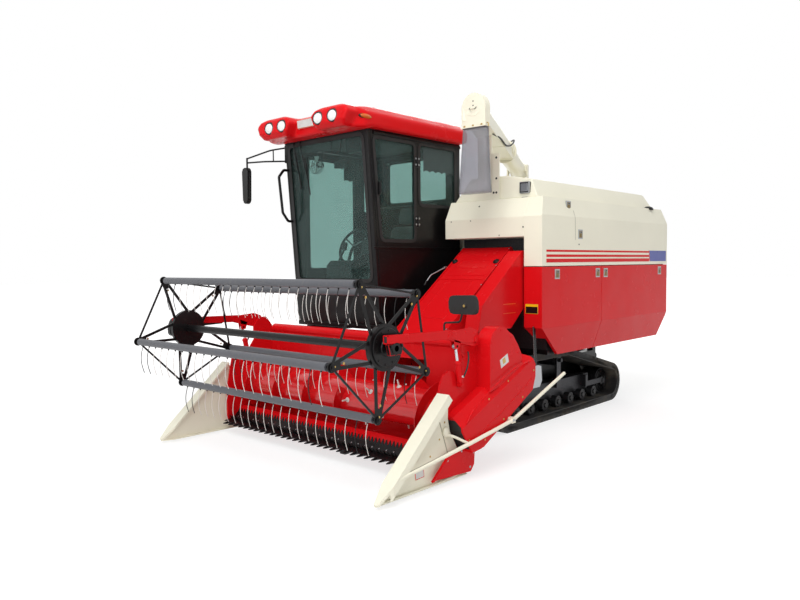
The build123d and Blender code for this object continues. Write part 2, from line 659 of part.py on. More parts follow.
def cab_right_wall():
    wall = prism(side_wall_outline(CAB_FLOOR_Z + FIT, CAB_ROOF_Z), "x", CAB_RIGHT, CAB_RIGHT + CAB_WALL)
    way = block(CAB_RIGHT - 50, CAB_RIGHT + 100, CAB_DOOR_Y0 - DOOR_GAP, CAB_DOOR_Y1 + DOOR_GAP,
                CAB_DOOR_Z0 - DOOR_GAP, CAB_DOOR_Z1 + DOOR_GAP)
    window = block(CAB_RIGHT - 50, CAB_RIGHT + 100, -20, 160, 2100, 2640)
    pins = hinge_pins(CAB_HINGE_X, CAB_HINGE_Y, CAB_HINGE_LEVELS, CAB_HINGE_H,
                      (CAB_RIGHT + 6, CAB_DOOR_Y1 + DOOR_GAP + 20))
    return join(cut(wall, way, window), *pins)


def cab_right_glass():
    x = CAB_RIGHT + CAB_WALL / 2
    return block(x, x + GLASS, -20, 160, 2100, 2640)


DOOR_RIM = 60


def cab_door():
    x0, x1 = CAB_RIGHT, CAB_RIGHT + CAB_WALL
    leaf = cut(block(x0, x1, CAB_DOOR_Y0, CAB_DOOR_Y1, CAB_DOOR_Z0, CAB_DOOR_Z1),
               block(x0 - 5, x1 + 5, CAB_DOOR_Y0 + DOOR_RIM, CAB_DOOR_Y1 - DOOR_RIM, 1500,
                     CAB_DOOR_Z1 - DOOR_RIM))
    knuckles = hinge_knuckles(CAB_HINGE_X, CAB_HINGE_Y, CAB_HINGE_LEVELS, CAB_HINGE_H,
                              (x0 + 6, CAB_DOOR_Y1 - 20))
    handle = join(block(x0 - 45, x0 - 30, CAB_DOOR_Y0 + 20, CAB_DOOR_Y0 + 40, 1750, 1890),
                  block(x0 - 40, x0 + 2, CAB_DOOR_Y0 + 20, CAB_DOOR_Y0 + 40, 1750, 1770),
                  block(x0 - 40, x0 + 2, CAB_DOOR_Y0 + 20, CAB_DOOR_Y0 + 40, 1870, 1890))
    return join(leaf, handle, *knuckles)


def cab_door_glass():
    x = CAB_RIGHT + CAB_WALL / 2
    return block(x, x + GLASS, CAB_DOOR_Y0 + DOOR_RIM, CAB_DOOR_Y1 - DOOR_RIM, 1500, CAB_DOOR_Z1 - DOOR_RIM)


LAMP_R, LAMP_Z = 52, CAB_ROOF_Z + 80
CAB_MID = (CAB_RIGHT + CAB_LEFT) / 2
LAMP_OFFSETS = (250, 432)           # lamp centres from the middle of the cab
LAMP_FACE_Y = ROOF_FRONT + 12
POD_RISE, POD_DROP = 90, 88        # a pod's height above and below its lamps
POD_IN, POD_GAP = 22, 150           # a pod's place inside the roof's side, and off its middle


def lamp_places():
    return [CAB_MID + side * offset for side in (-1, 1) for offset in LAMP_OFFSETS]


def lamp_pod(x0, x1):
    """Hood over a pair of lamps, that runs back into the roof's dome."""
    low, high = LAMP_Z - POD_DROP, LAMP_Z + POD_RISE
    across = prism([(x0 + 60, low), (x0, LAMP_Z + 20), (x0 + 45, high - 22), (x0 + 110, high),
                    (x1 - 110, high),
                    (x1 - 45, high - 22), (x1, LAMP_Z + 20), (x1 - 60, low)], "y", ROOF_FRONT - 10,
                    ROOF_FRONT + 520)
    along = prism([(ROOF_FRONT + 35, low), (ROOF_FRONT, low + 45), (ROOF_FRONT + 12, high - 30),
                   (ROOF_FRONT + 50, high), (ROOF_FRONT + 450, high + 8), (ROOF_FRONT + 450, CAB_ROOF_Z + 10),
                   (CAB_FRONT_TOP - 12, CAB_ROOF_Z + 10), (CAB_FRONT_TOP - 12, low)], "x", x0 - 10, x1 + 10)
    return solid_of(across.intersect(along))


def cab_roof():
    """Red cap with a domed top, two lamp pods in front and a recess between them."""
    x0, x1 = CAB_RIGHT - ROOF_OVER, CAB_LEFT + ROOF_OVER
    z0 = CAB_ROOF_Z + FIT
    top, corner, pod = CAB_ROOF_Z + ROOF_HEIGHT, 130, ROOF_FRONT + 125
    side = prism([(pod, z0 - 15), (pod - 10, top - 105), (pod + 70, top - 62), (pod + 300, top - 22),
                  (CAB_FRONT_TOP + 620, top), (ROOF_REAR - corner, top - 20), (ROOF_REAR, top - 75),
                  (ROOF_REAR, z0 + 35), (CAB_REAR, z0), (CAB_FRONT_TOP - 12, z0),
                  (CAB_FRONT_TOP - 12, z0 - 15)],
                 "x", x0, x1)
    front = prism([(x0, z0 - 100), (x0, top - 115), (x0 + 90, top - 45), (x0 + 300, top + 5),
                   (x1 - 300, top + 5),
                   (x1 - 90, top - 45), (x1, top - 115), (x1, z0 - 100)], "y", ROOF_FRONT - 10,
                   ROOF_REAR + 10)
    plan = prism([(x0, pod + 80), (x0 + 60, pod - 20), (x1 - 60, pod - 20), (x1, pod + 80),
                  (x1, ROOF_REAR - 60),
                  (x1 - 60, ROOF_REAR), (x0 + 60, ROOF_REAR), (x0, ROOF_REAR - 60)], "z", z0 - 100, top + 50)
    dome = solid_of(solid_of(side.intersect(front)).intersect(plan))
    pods = [lamp_pod(x0 + POD_IN, CAB_MID - POD_GAP), lamp_pod(CAB_MID + POD_GAP, x1 - POD_IN)]
    sockets = [rod((x, ROOF_FRONT - 30, LAMP_Z), (x, LAMP_FACE_Y + 70, LAMP_Z), LAMP_R + FIT)
               for x in lamp_places()]
    return cut(join(dome, *pods), *sockets)


def roof_lamps():
    return [rod((x, LAMP_FACE_Y, LAMP_Z), (x, LAMP_FACE_Y + 70 - FIT, LAMP_Z), LAMP_R) for x in lamp_places()]


def seat():
    """Driver's seat: a cushion and a back on a pedestal."""
    x = CAB_MID + 40
    base = block(x - 150, x + 150, -420, -80, CAB_FLOOR_Z + FIT, 1330)
    cushion = block(x - 240, x + 240, -520, -30, 1330 + FIT, 1440)
    back = prism([(-110, 1440 + FIT), (-20, 1950), (70, 1950), (-10, 1440 + FIT)], "x", x - 230, x + 230)
    head = prism([(-10, 1950 + FIT), (20, 2130), (80, 2130), (60, 1950 + FIT)], "x", x - 120, x + 120)
    return base, cushion, back, head


def console():
    """Side console with levers, and the steering column with its lever."""
    box = block(CAB_LEFT - CAB_WALL - 240, CAB_LEFT - CAB_WALL - 20, -800, -250, CAB_FLOOR_Z + FIT, 1560)
    dash = prism([(-860, CAB_FLOOR_Z + FIT), (-880, 1540), (-820, 1590), (-740, 1540),
                  (-760, CAB_FLOOR_Z + FIT)],
                 "x", CAB_MID - 200, CAB_MID + 150)
    levers = [join(rod((x, y, 1550), (x, y - 40, 1740), 8), rod((x, y - 40, 1730), (x, y - 46, 1790), 20))
              for x, y in ((CAB_LEFT - 210, -640), (CAB_LEFT - 210, -520), (CAB_LEFT - 130, -580))]
    stick = join(rod((CAB_MID - 120, -800, 1560), (CAB_MID - 110, -720, 1700), 10),
                 rod((CAB_MID - 110, -724, 1690), (CAB_MID - 108, -708, 1760), 24))
    return [join(box, *levers), join(dash, stick)]


RAIL_LEVELS = (2465, 1975)  # where the grab rail's ends stand on the front frame


def grab_rail():
    x = CAB_RIGHT + 30
    z_top, z_low = RAIL_LEVELS
    y_top, y_low = front_y(z_top), front_y(z_low)
    seat_gap = FIT + 1.1
    return bent_tube([(x, y_top - seat_gap, z_top), (x, y_top - 60, z_top), (x, y_top - 120, z_top - 70),
                      (x, y_low - 120, z_low + 80), (x, y_low - 55, z_low), (x, y_low - seat_gap, z_low)],
                      13, 30)


def right_mirror():
    """Mirror on two bent tubes that reach out from the right front pillar."""
    x, y = CAB_RIGHT - FIT, -1040
    plate = block(x - 14, x, y - 20, y + 20, 2540, 2710)
    tip = (x - 308, -1290, 2590)
    upper = bent_tube([(x - 10, y, 2690), (x - 120, y - 110, 2665), tip], 8, 30)
    lower = bent_tube([(x - 10, y, 2560), (x - 180, y - 140, 2560), (tip[0], tip[1], 2550)], 8, 30)
    stem = rod(tip, (tip[0], tip[1], 2490), 9)
    glass = prism([(tip[0] - 46, 2170), (tip[0] - 26, 2150), (tip[0] + 22, 2150), (tip[0] + 36, 2172),
                   (tip[0] + 44, 2480), (tip[0] + 26, 2500), (tip[0] - 28, 2500), (tip[0] - 50, 2474)],
                  "y", tip[1] - 28, tip[1] + 28)
    return join(plate, upper, lower, stem, glass)


# ---------------------------------------------------------------- grain unloader
def unload_direction():
    run = Vector(HEAD_X - UNLOAD_X, HEAD_Y - UNLOAD_Y, HEAD_Z - UNLOAD_Z)
    return run.normalized()


TURRET_Z = 2330             # where the swinging elbow stands on the fixed stub
LIFT_AXIS_Z = UNLOAD_Z
TRUNNION_R = 22
SPIGOT, SPIGOT_R = 110, 70         # spigot of the elbow inside the stub


def unload_stub():
    """Fixed upright tube out of the tank's top, with a collar that the elbow turns on."""
    foot = rod((UNLOAD_X, UNLOAD_Y, BODY_TOP + FIT), (UNLOAD_X, UNLOAD_Y, TURRET_Z), UNLOAD_R)
    collar = rod((UNLOAD_X, UNLOAD_Y, TURRET_Z - 40), (UNLOAD_X, UNLOAD_Y, TURRET_Z), UNLOAD_R + 35)
    socket = rod((UNLOAD_X, UNLOAD_Y, TURRET_Z - SPIGOT - 5), (UNLOAD_X, UNLOAD_Y, TURRET_Z + 5),
                 SPIGOT_R + RUNNING)
    return cut(join(foot, collar), socket)


def level_direction():
    run = Vector(HEAD_X - UNLOAD_X, HEAD_Y - UNLOAD_Y, 0)
    return run.normalized()


def unload_elbow():
    """Swinging elbow: an upright tube with two ears that hold the boom's pins."""
    ahead = level_direction()
    side = Vector(-ahead.Y, ahead.X, 0)
    base = rod((UNLOAD_X, UNLOAD_Y, TURRET_Z + 2), (UNLOAD_X, UNLOAD_Y, TURRET_Z + 40), UNLOAD_R + 35)
    riser = rod((UNLOAD_X, UNLOAD_Y, TURRET_Z + 2), (UNLOAD_X, UNLOAD_Y, UNLOAD_Z - UNLOAD_R - 78), UNLOAD_R)
    centre = Vector(UNLOAD_X, UNLOAD_Y, UNLOAD_Z)
    ears = []
    for way in (-1, 1):
        middle = centre + side * (way * (UNLOAD_R + 22))
        low = Vector(middle.X, middle.Y, TURRET_Z + 30)
        ears.append(bar(low, middle + Vector(0, 0, 50), 110, 14, side=ahead))
    pins = rod(centre - side * (UNLOAD_R + 29), centre + side * (UNLOAD_R + 29), TRUNNION_R)
    gap = rod(centre - side * (UNLOAD_R - 12), centre + side * (UNLOAD_R - 12), TRUNNION_R + 5)
    spigot = rod((UNLOAD_X, UNLOAD_Y, TURRET_Z - SPIGOT), (UNLOAD_X, UNLOAD_Y, TURRET_Z + 10), SPIGOT_R)
    return join(base, riser, spigot, *ears, *solids_of(cut(pins, gap)))


def solids_of(shape):
    if isinstance(shape, (list, tuple)):
        return [solid for item in shape for solid in item.solids()]
    return shape.solids()


COLLAR_AT = 0.36            # where the collar stands along the boom
CRADLE_GAP = 38             # between the resting boom and its support


def unload_boom():
    """Boom: round tube from the elbow, a collar, and a trough-shaped front part up to the head."""
    ahead, level = unload_direction(), level_direction()
    side = Vector(-level.Y, level.X, 0)
    centre = Vector(UNLOAD_X, UNLOAD_Y, UNLOAD_Z)
    tip = Vector(HEAD_X, HEAD_Y, HEAD_Z)
    reach = (tip - centre).length
    tube = rod(centre - ahead * 110, tip, UNLOAD_R)
    cap = rod(centre - ahead * 130, centre - ahead * 110, UNLOAD_R + 14)
    collar = rod(centre + ahead * (reach * COLLAR_AT), centre + ahead * (reach * COLLAR_AT + 30),
                 UNLOAD_R + 30)
    bores = rod(centre - side * (UNLOAD_R + 20), centre + side * (UNLOAD_R + 20), TRUNNION_R + RUNNING)
    sunk = Vector(0, 0, -UNLOAD_R / 2)
    trough = bar(centre + ahead * (reach * COLLAR_AT + 20) + sunk, tip + sunk, 2 * UNLOAD_R, UNLOAD_R,
                 side=side)
    return cut(join(tube, cap, collar, trough, unload_head()), bores)


def unload_head():
    """Discharge head: a box with a round top, open below."""
    x0, x1 = HEAD_X - HEAD_WIDTH / 2, HEAD_X + HEAD_WIDTH / 2
    round_z = HEAD_Z
    box = block(x0, x1, HEAD_Y, HEAD_Y + HEAD_DEPTH, HEAD_LOW, round_z)
    top = rod((HEAD_X, HEAD_Y, round_z), (HEAD_X, HEAD_Y + HEAD_DEPTH, round_z), HEAD_WIDTH / 2)
    mouth = block(x0 + 16, x1 - 16, HEAD_Y + 16, HEAD_Y + HEAD_DEPTH - 16, HEAD_LOW - 5, HEAD_LOW + 60)
    return cut(join(box, top), mouth)


def discharge_chute():
    """Clear sleeve that hangs from the head's mouth and widens downwards."""
    z1 = HEAD_LOW - FIT
    z0 = z1 - CHUTE_LENGTH
    y = HEAD_Y + HEAD_DEPTH / 2

    def sleeve(inset):
        upper = Plane((HEAD_X, y, z1)) * Rectangle(HEAD_WIDTH - 2 * inset, HEAD_DEPTH - 2 * inset)
        lower = Plane((HEAD_X - 10, y, z0)) * Rectangle(HEAD_WIDTH + CHUTE_FLARE - 2 * inset,
                                                        HEAD_DEPTH + CHUTE_FLARE / 2 - 2 * inset)
        return loft([lower, upper]).solid()
    return cut(sleeve(0), sleeve(CHUTE_WALL))


def unload_support():
    """Flat post on the wing with a cradle under the boom."""
    ahead, centre = unload_direction(), Vector(UNLOAD_X, UNLOAD_Y, UNLOAD_Z)
    share = (UNLOAD_Y - 40) / (UNLOAD_Y - HEAD_Y)
    at = centre + (Vector(HEAD_X, HEAD_Y, HEAD_Z) - centre) * share
    top = at.Z - UNLOAD_R - CRADLE_GAP
    post = block(at.X - 50, at.X + 110, 10, 22, BODY_TOP + FIT, top)
    return post


# ---------------------------------------------------------------- header
def slope_point(distance, depth):
    """Point on the feeder house: distance down the slope from the pivot, depth below its mid-line."""
    c, s = polar(1, FEEDER_SLOPE)
    return PIVOT_Y - c * distance + s * depth, PIVOT_Z - s * distance - c * depth


def feeder_outline(inset=0.0):
    half = FEEDER_DEPTH / 2 - inset
    top_rear, low_rear = slope_point(-178, -half), slope_point(0, half)
    c, s = polar(1, FEEDER_SLOPE)
    front = WALL_Y + HEADER_SHEET + FIT
    def at_front(point):
        return front, point[1] - (point[0] - front) * s / c
    return [top_rear, at_front(top_rear), at_front(low_rear), low_rear,
            slope_point(-half * 0.95, half * 0.35), slope_point(-half * 0.98, -half * 0.4)]


def feeder_house():
    """Hollow chute from the header to the body, open at both ends, on its upper shaft."""
    shell = prism(feeder_outline(), "x", FEEDER_X0, FEEDER_X1)
    inner = feeder_outline(FEEDER_SHEET)
    front = (inner[1][0] - 100, inner[1][1] - 100 * math.tan(math.radians(FEEDER_SLOPE)))
    front_low = (inner[2][0] - 100, inner[2][1] - 100 * math.tan(math.radians(FEEDER_SLOPE)))
    hollow = prism([inner[0], front, front_low, *inner[3:]], "x", FEEDER_X0 + FEEDER_SHEET,
                   FEEDER_X1 - FEEDER_SHEET)
    mouth = block(FEEDER_X0 + FEEDER_SHEET, FEEDER_X1 - FEEDER_SHEET, PIVOT_Y + 60, PIVOT_Y + 400,
                  PIVOT_Z - 150, PIVOT_Z + 150)
    shaft = rod((FEEDER_X0 - 50, PIVOT_Y, PIVOT_Z), (FEEDER_X1 + 50, PIVOT_Y, PIVOT_Z), PIVOT_R)
    ears = lift_ears(LIFT_EYE_Y, LIFT_EYE_Z, slope_point(LIFT_EAR_AT, FEEDER_DEPTH / 2))
    return join(cut(shell, hollow, mouth), shaft, ears)


LIFT_EAR_AT = 1120


def feeder_mounts():
    """Two bearing plates on the thresher's front that hold the feeder's upper shaft."""
    plates = []
    for x0 in (FEEDER_X0 - 42, FEEDER_X1 + 22):
        plate = join(rod((x0, PIVOT_Y, PIVOT_Z), (x0 + 20, PIVOT_Y, PIVOT_Z), 75),
                     block(x0, x0 + 20, PIVOT_Y, CORE_FRONT + 5, PIVOT_Z - 75, PIVOT_Z + 75))
        plates.append(cut(plate, rod((x0 - 5, PIVOT_Y, PIVOT_Z), (x0 + 25, PIVOT_Y, PIVOT_Z),
                                     PIVOT_R + RUNNING)))
    return plates


def header_frame():
    """Crop platform: floor with the auger's trough, back wall with the feeder's mouth, sides and beam."""
    trough_r = AUGER_R + AUGER_GAP
    back = WALL_Y + HEADER_SHEET
    solid = prism([(KNIFE_Y, KNIFE_Z - 12), (KNIFE_Y, KNIFE_Z), (AUGER_Y - 120, AUGER_Z), (WALL_Y, AUGER_Z),
                   (WALL_Y, WALL_TOP), (back, WALL_TOP), (back, AUGER_Z - 150),
                   (AUGER_Y + 130, AUGER_Z - trough_r - 14),
                   (AUGER_Y, AUGER_Z - trough_r - 14)], "x", -HEADER_HALF, HEADER_HALF)
    trough = rod((-HEADER_HALF - 10, AUGER_Y, AUGER_Z), (HEADER_HALF + 10, AUGER_Y, AUGER_Z), trough_r)
    c, s = math.cos(math.radians(113)), math.sin(math.radians(113))
    ramp = prism([(KNIFE_Y - 30, KNIFE_Z + 300), (KNIFE_Y - 30, KNIFE_Z - 4), (KNIFE_Y, KNIFE_Z),
                  (AUGER_Y + trough_r * c, AUGER_Z - trough_r * s), (AUGER_Y, AUGER_Z),
                  (AUGER_Y, AUGER_Z + 40)],
                 "x", -HEADER_HALF - 10, HEADER_HALF + 10)
    floor = cut(solid, trough, ramp)
    opening = block(FEEDER_X0 + FEEDER_SHEET, FEEDER_X1 - FEEDER_SHEET, AUGER_Y + 150, back + 10,
                    AUGER_Z - 60, AUGER_Z + 320)
    side = prism([(-1705, 95), (WALL_Y + 20, 150), (WALL_Y + 20, WALL_TOP + 40), (-1330, WALL_TOP + 20),
                  (-1455, 750), (-1490, 778), (-1545, 786), (-1600, 762), (-1640, 700), (-1705, 400)],
                 "x", HEADER_HALF, HEADER_HALF + HEADER_SHEET)
    beam = rod((-HEADER_HALF, back + 20, WALL_TOP + 30), (HEADER_HALF, back + 20, WALL_TOP + 30), 45)
    rail = block(-HEADER_HALF, HEADER_HALF, back - 4, back + 60, 230, 290)
    frame = cut(join(solid_of(floor), side, mirrored(side), beam, rail, *pivot_brackets()), opening)
    return cut(frame, rod((-HEADER_HALF - 20, AUGER_Y, AUGER_Z), (HEADER_HALF + 20, AUGER_Y, AUGER_Z),
                          AUGER_PIN_R + RUNNING))


def pivot_brackets():
    """Plates on the header's sides that hold the reel arms' pins and the reel lift cylinders."""
    pieces = []
    for side in (-1, 1):
        pin = rod((side * (HEADER_HALF + HEADER_SHEET), ARM_Y, ARM_Z),
                  (side * (ARM_X + ARM_W / 2 + 12), ARM_Y, ARM_Z), 20)
        x0, x1 = sorted((side * HEADER_HALF, side * (HEADER_HALF + HEADER_SHEET)))
        plate = prism([(-1390, 880), (-1390, 960), (-1330, 1050), (-1240, 1050), (-1170, 960), (-1170, 800)],
                      "x", x0, x1)
        low_pin = rod((side * HEADER_HALF, *CYL_LOW), (side * (ARM_X + 22), *CYL_LOW), CYL_PIN_R)
        pieces += [join(plate, pin), low_pin]
    return pieces


def header_auger():
    """Crop auger: tube with flights that wind towards the feeder's mouth, and fingers between them."""
    ends = HEADER_HALF - 6
    tube = rod((-ends, AUGER_Y, AUGER_Z), (ends, AUGER_Y, AUGER_Z), AUGER_TUBE_R)
    fingers = []
    for row in range(5):
        x = FEEDER_X0 + 40 + row * (FEEDER_X1 - FEEDER_X0 - 80) / 4
        for half in (0, 180):
            dy, dz = polar(AUGER_R - 8, row * 72 + half)
            fingers.append(rod((x, AUGER_Y, AUGER_Z), (x, AUGER_Y + dy, AUGER_Z + dz), 9))
    pins = rod((-HEADER_HALF - HEADER_SHEET, AUGER_Y, AUGER_Z), (HEADER_HALF + HEADER_SHEET, AUGER_Y,
                                                                 AUGER_Z),
               AUGER_PIN_R)
    return [join(tube, pins, *fingers), flight(HEADER_HALF - 8, FEEDER_X1, 1),
            flight(-HEADER_HALF + 8, FEEDER_X0, -1)]


def flight(x_start, x_stop, hand):
    """Helical flight as a closed mesh of flat faces that just clears the auger's tube."""
    step = 360 / FLIGHT_STEPS
    inner = (AUGER_TUBE_R + FIT) / math.cos(math.radians(step / 2))
    steps = round(abs(x_stop - x_start) / FLIGHT_PITCH * FLIGHT_STEPS)
    rings = []
    for index in range(steps + 1):
        x = x_start + (x_stop - x_start) * index / steps
        ring = []
        for dx, radius in ((-FLIGHT_T / 2, inner), (FLIGHT_T / 2, inner), (FLIGHT_T / 2, AUGER_R),
                           (-FLIGHT_T / 2, AUGER_R)):
            dy, dz = polar(radius, hand * step * index)
            ring.append(Vector(x + dx, AUGER_Y + dy, AUGER_Z + dz))
        rings.append(ring)
    faces = [Face(Wire.make_polygon(rings[0], close=True)), Face(Wire.make_polygon(rings[-1], close=True))]
    for near, far in zip(rings, rings[1:]):
        for a in range(4):
            b = (a + 1) % 4
            faces.append(Face(Wire.make_polygon([near[a], near[b], far[b]], close=True)))
            faces.append(Face(Wire.make_polygon([near[a], far[b], far[a]], close=True)))
    return Solid(Shell(faces))


def cutter_bar():
    """Knife back with a row of pointed guards."""
    back = block(-HEADER_HALF + FIT, HEADER_HALF - FIT, KNIFE_Y - 45, KNIFE_Y - FIT, KNIFE_Z - 22,
                 KNIFE_Z - 2)
    count = int(2 * HEADER_HALF / GUARD_PITCH)
    guards = []
    for index in range(count):
        x = (index - (count - 1) / 2) * GUARD_PITCH
        guards.append(prism([(x - 13, KNIFE_Y - 30), (x + 13, KNIFE_Y - 30), (x + 10, GUARD_TIP_Y + 50),
                             (x + 2, GUARD_TIP_Y), (x - 2, GUARD_TIP_Y), (x - 10, GUARD_TIP_Y + 50)],
                            "z", KNIFE_Z - 24, KNIFE_Z + 2))
    return join(back, *guards)


DIVIDER_TIP_Y, DIVIDER_TIP_Z = -2365, 22
DIVIDER_W = 106
WEB_IN = 30                 # from the divider's inner edge to its web
GUARD_FACE = HEADER_HALF + 155      # outer face of the long drive guard


def divider():
    """White crop divider on the left: a sloping channel on an upright web, with a flange near the ground."""
    x0 = HEADER_HALF + HEADER_SHEET + FIT
    x1 = x0 + DIVIDER_W
    tip, crown = (DIVIDER_TIP_Y + 15, DIVIDER_TIP_Z + 10), (-1668, 640)
    back, channel_t, lip, sheet = -1404, 9, 25, 8
    run = math.hypot(crown[0] - tip[0], crown[1] - tip[1])
    away = ((crown[1] - tip[1]) / run, -(crown[0] - tip[0]) / run)
    lip_line = [(y + away[0] * lip, z + away[1] * lip) for y, z in (tip, crown)]
    channel = prism(strip(tip, crown, channel_t), "x", x0, x1)
    edge = prism(strip(*lip_line, lip), "x", x1 - sheet, x1)
    web_x = x0 + WEB_IN
    web = prism([tip, crown, (-1600, 570), (-1604, 460), (-1582, 365), (-1475, 190), (back, 60),
                 (back, DIVIDER_TIP_Z)],
                "x", web_x, web_x + sheet)
    flange = block(x0, web_x + 24, tip[0], back, DIVIDER_TIP_Z, DIVIDER_TIP_Z + sheet)
    spacers = [block(x0, web_x + sheet, y, y + 60, z, z + 50) for y, z in ((-1665, 330), (-1640, 150))]
    nose = (x0 + x1) / 2
    plan = prism([(nose - 14, DIVIDER_TIP_Y), (nose + 14, DIVIDER_TIP_Y), (x1, -2240), (x1, back), (x0, back),
                  (x0, -2240)], "z", 0, 1000)
    return solid_of(join(channel, edge, web, flange, *spacers).intersect(plan))


def crop_bar():
    """White bent bar from the divider back along the left side."""
    x = GUARD_FACE + 25
    tube = bent_tube([(x - 75, -2200, 165), (x, -1490, 290), (x, -980, 360), (x - 20, -170, 620)], 14, 60)
    bracket = block(GUARD_FACE + FIT, x, -1000, -960, 345, 375)
    return join(tube, bracket)


ARCH_Y, ARCH_Z, ARCH_R = -1065, 935, 140    # round top of the tall drive cover
GUARD_BEVEL = 72


def drive_shields():
    """Red covers over the header's drives: a tall arched one, a long bevelled one and its toe plate."""
    x0, x1 = HEADER_HALF + HEADER_SHEET + FIT, GUARD_FACE
    tall_x1 = x1 - 20
    front = ARCH_Y - ARCH_R
    tall = join(prism([(front, 600), (front, ARCH_Z), (ARCH_Y + 99, ARCH_Z + 99), (-902, 1000), (-838, 925),
                       (-790, 855), (-760, 700)], "x", x0, tall_x1),
                rod((x0, ARCH_Y, ARCH_Z), (tall_x1, ARCH_Y, ARCH_Z), ARCH_R))
    low, high = (-1587, 467), (-723, 836)
    guard = prism([(-1452, 202), (-1564, 367), low, high, (-655, 812), (-612, 745), (-612, 650), (-653, 547),
                   (-1314, 218)], "x", x0, x1)
    middle = Vector(x1, (low[0] + high[0]) / 2, (low[1] + high[1]) / 2)
    ridge = [edge for edge in guard.edges() if (edge.center() - middle).length < 1]
    toe = prism([(-1835, 70), (-1660, 212), (-1452, 240), (-1340, 215), (-1350, 90), (-1390, 45)],
                "x", x1 - 70, x1 - 62)
    return join(tall, guard.chamfer(GUARD_BEVEL, GUARD_BEVEL, ridge), toe)


def left_mirror():
    """Mirror on a bent stalk that stands on the header's beam."""
    y, beam_top = WALL_Y + HEADER_SHEET + 20, WALL_TOP + 75
    x, z = HEADER_HALF - 355, beam_top + 175
    stalk = bent_tube([(x, y, beam_top + FIT), (x, y, z - 65), (x + 140, y + 20, z - 55),
                       (x + 170, y + 20, z + 25)],
                      8, 18)
    shell = prism([(x + 35, z + 90), (x + 45, z + 160), (x + 260, z + 168), (x + 305, z + 30),
                   (x + 300, z + 10),
                   (x + 70, z)], "y", y, y + 45)
    return join(stalk, shell)


def feeder_shield():
    """Red triangular cover over the drive between the body and the feeder."""
    cover = prism([(-98, 1657), (-20, 1657), (-64, 1147), (-268, 980), (-760, 984), (-700, 1200)], "x", 800,
                  945)
    spacers = [block(FEEDER_X1 + FIT, 810, y, y + 60, z, z + 60) for y, z in ((-620, 1000), (-250, 1140))]
    return join(cover, *spacers)


# ---------------------------------------------------------------- reel and its arms
CYL_LOW = (-1435, 680)
CYL_TOP = (-1495, 962)
CYL_BARREL = 225            # length of a barrel from its pin
CYL_DRIFT = 5               # play of a rod's eye on its pin, because the rods' strokes are not quite linear
LIFT_DRIFT = 6
CYL_R, CYL_ROD_R, CYL_PIN_R = 21, 9, 10
CYL_EYE_R = 24
EAR_T = 8                   # thickness of the arm's ears


def reel_arm():
    """Left reel arm: a box beam from the rear pivot to the reel's bearing."""
    x0, x1 = ARM_X - ARM_W / 2, ARM_X + ARM_W / 2
    beam = prism([(-2215, 1040), (-2215, 1096), (-1551, 1080), (-1330, 1062), (-1256, 1040), (-1232, 1000),
                  (-1240, 955), (-1290, 942), (-1440, 975), (-1600, 1022)], "x", x0, x1)
    bearing = rod((x0, REEL_Y, REEL_Z), (x1, REEL_Y, REEL_Z), 42)
    ears = [prism([(CYL_TOP[0] - 40, 1040), (CYL_TOP[0] - 24, CYL_TOP[1] - 18),
                   (CYL_TOP[0] + 24, CYL_TOP[1] - 18),
                   (CYL_TOP[0] + 46, 1010)], "x", a, a + EAR_T) for a in (x0, x1 - EAR_T)]
    slot = block(x0 + EAR_T, x1 - EAR_T, CYL_TOP[0] - 34, CYL_TOP[0] + 34, 900, CYL_TOP[1] + 36)
    pin = rod((x0, *CYL_TOP), (x1, *CYL_TOP), CYL_PIN_R)
    holes = [rod((x0 - 5, REEL_Y, REEL_Z), (x1 + 5, REEL_Y, REEL_Z), REEL_PIN_R + RUNNING),
             rod((x0 - 5, ARM_Y, ARM_Z), (x1 + 5, ARM_Y, ARM_Z), 20 + RUNNING)]
    return cut(join(cut(join(beam, *ears), slot), bearing, pin), *holes)


def bar_angles():
    """Angle of each tine bar about the reel's shaft, from forwards towards up."""
    return [REEL_PHASE + index * 360 / REEL_BARS for index in range(REEL_BARS)]


def bar_place(angle):
    dy, dz = polar(REEL_R, angle)
    return REEL_Y - dy, REEL_Z + dz


def tine_bar(angle):
    """One bar with its row of hanging spring tines and a journal at each end."""
    y, z = bar_place(angle)
    half = REEL_HALF - 15
    tube = rod((-half, y, z), (half, y, z), BAR_R)
    journal = rod((-SPIDER_X - SPIDER_T, y, z), (SPIDER_X + SPIDER_T, y, z), BAR_PIN_R)
    count = int(2 * half / TINE_PITCH)
    tines = []
    for index in range(count):
        x = (index - (count - 1) / 2) * TINE_PITCH
        bend = z - BAR_R - TINE_LENGTH * 0.45
        tines.append(prism([(y - 4, z - BAR_R + 6), (y + 4, z - BAR_R + 6), (y - 10, bend),
                            (y + 6, z - BAR_R - TINE_LENGTH),
                            (y - 1, z - BAR_R - TINE_LENGTH), (y - 18, bend)], "x", x - TINE_W / 2,
                            x + TINE_W / 2))
    return join(tube, journal, *tines)


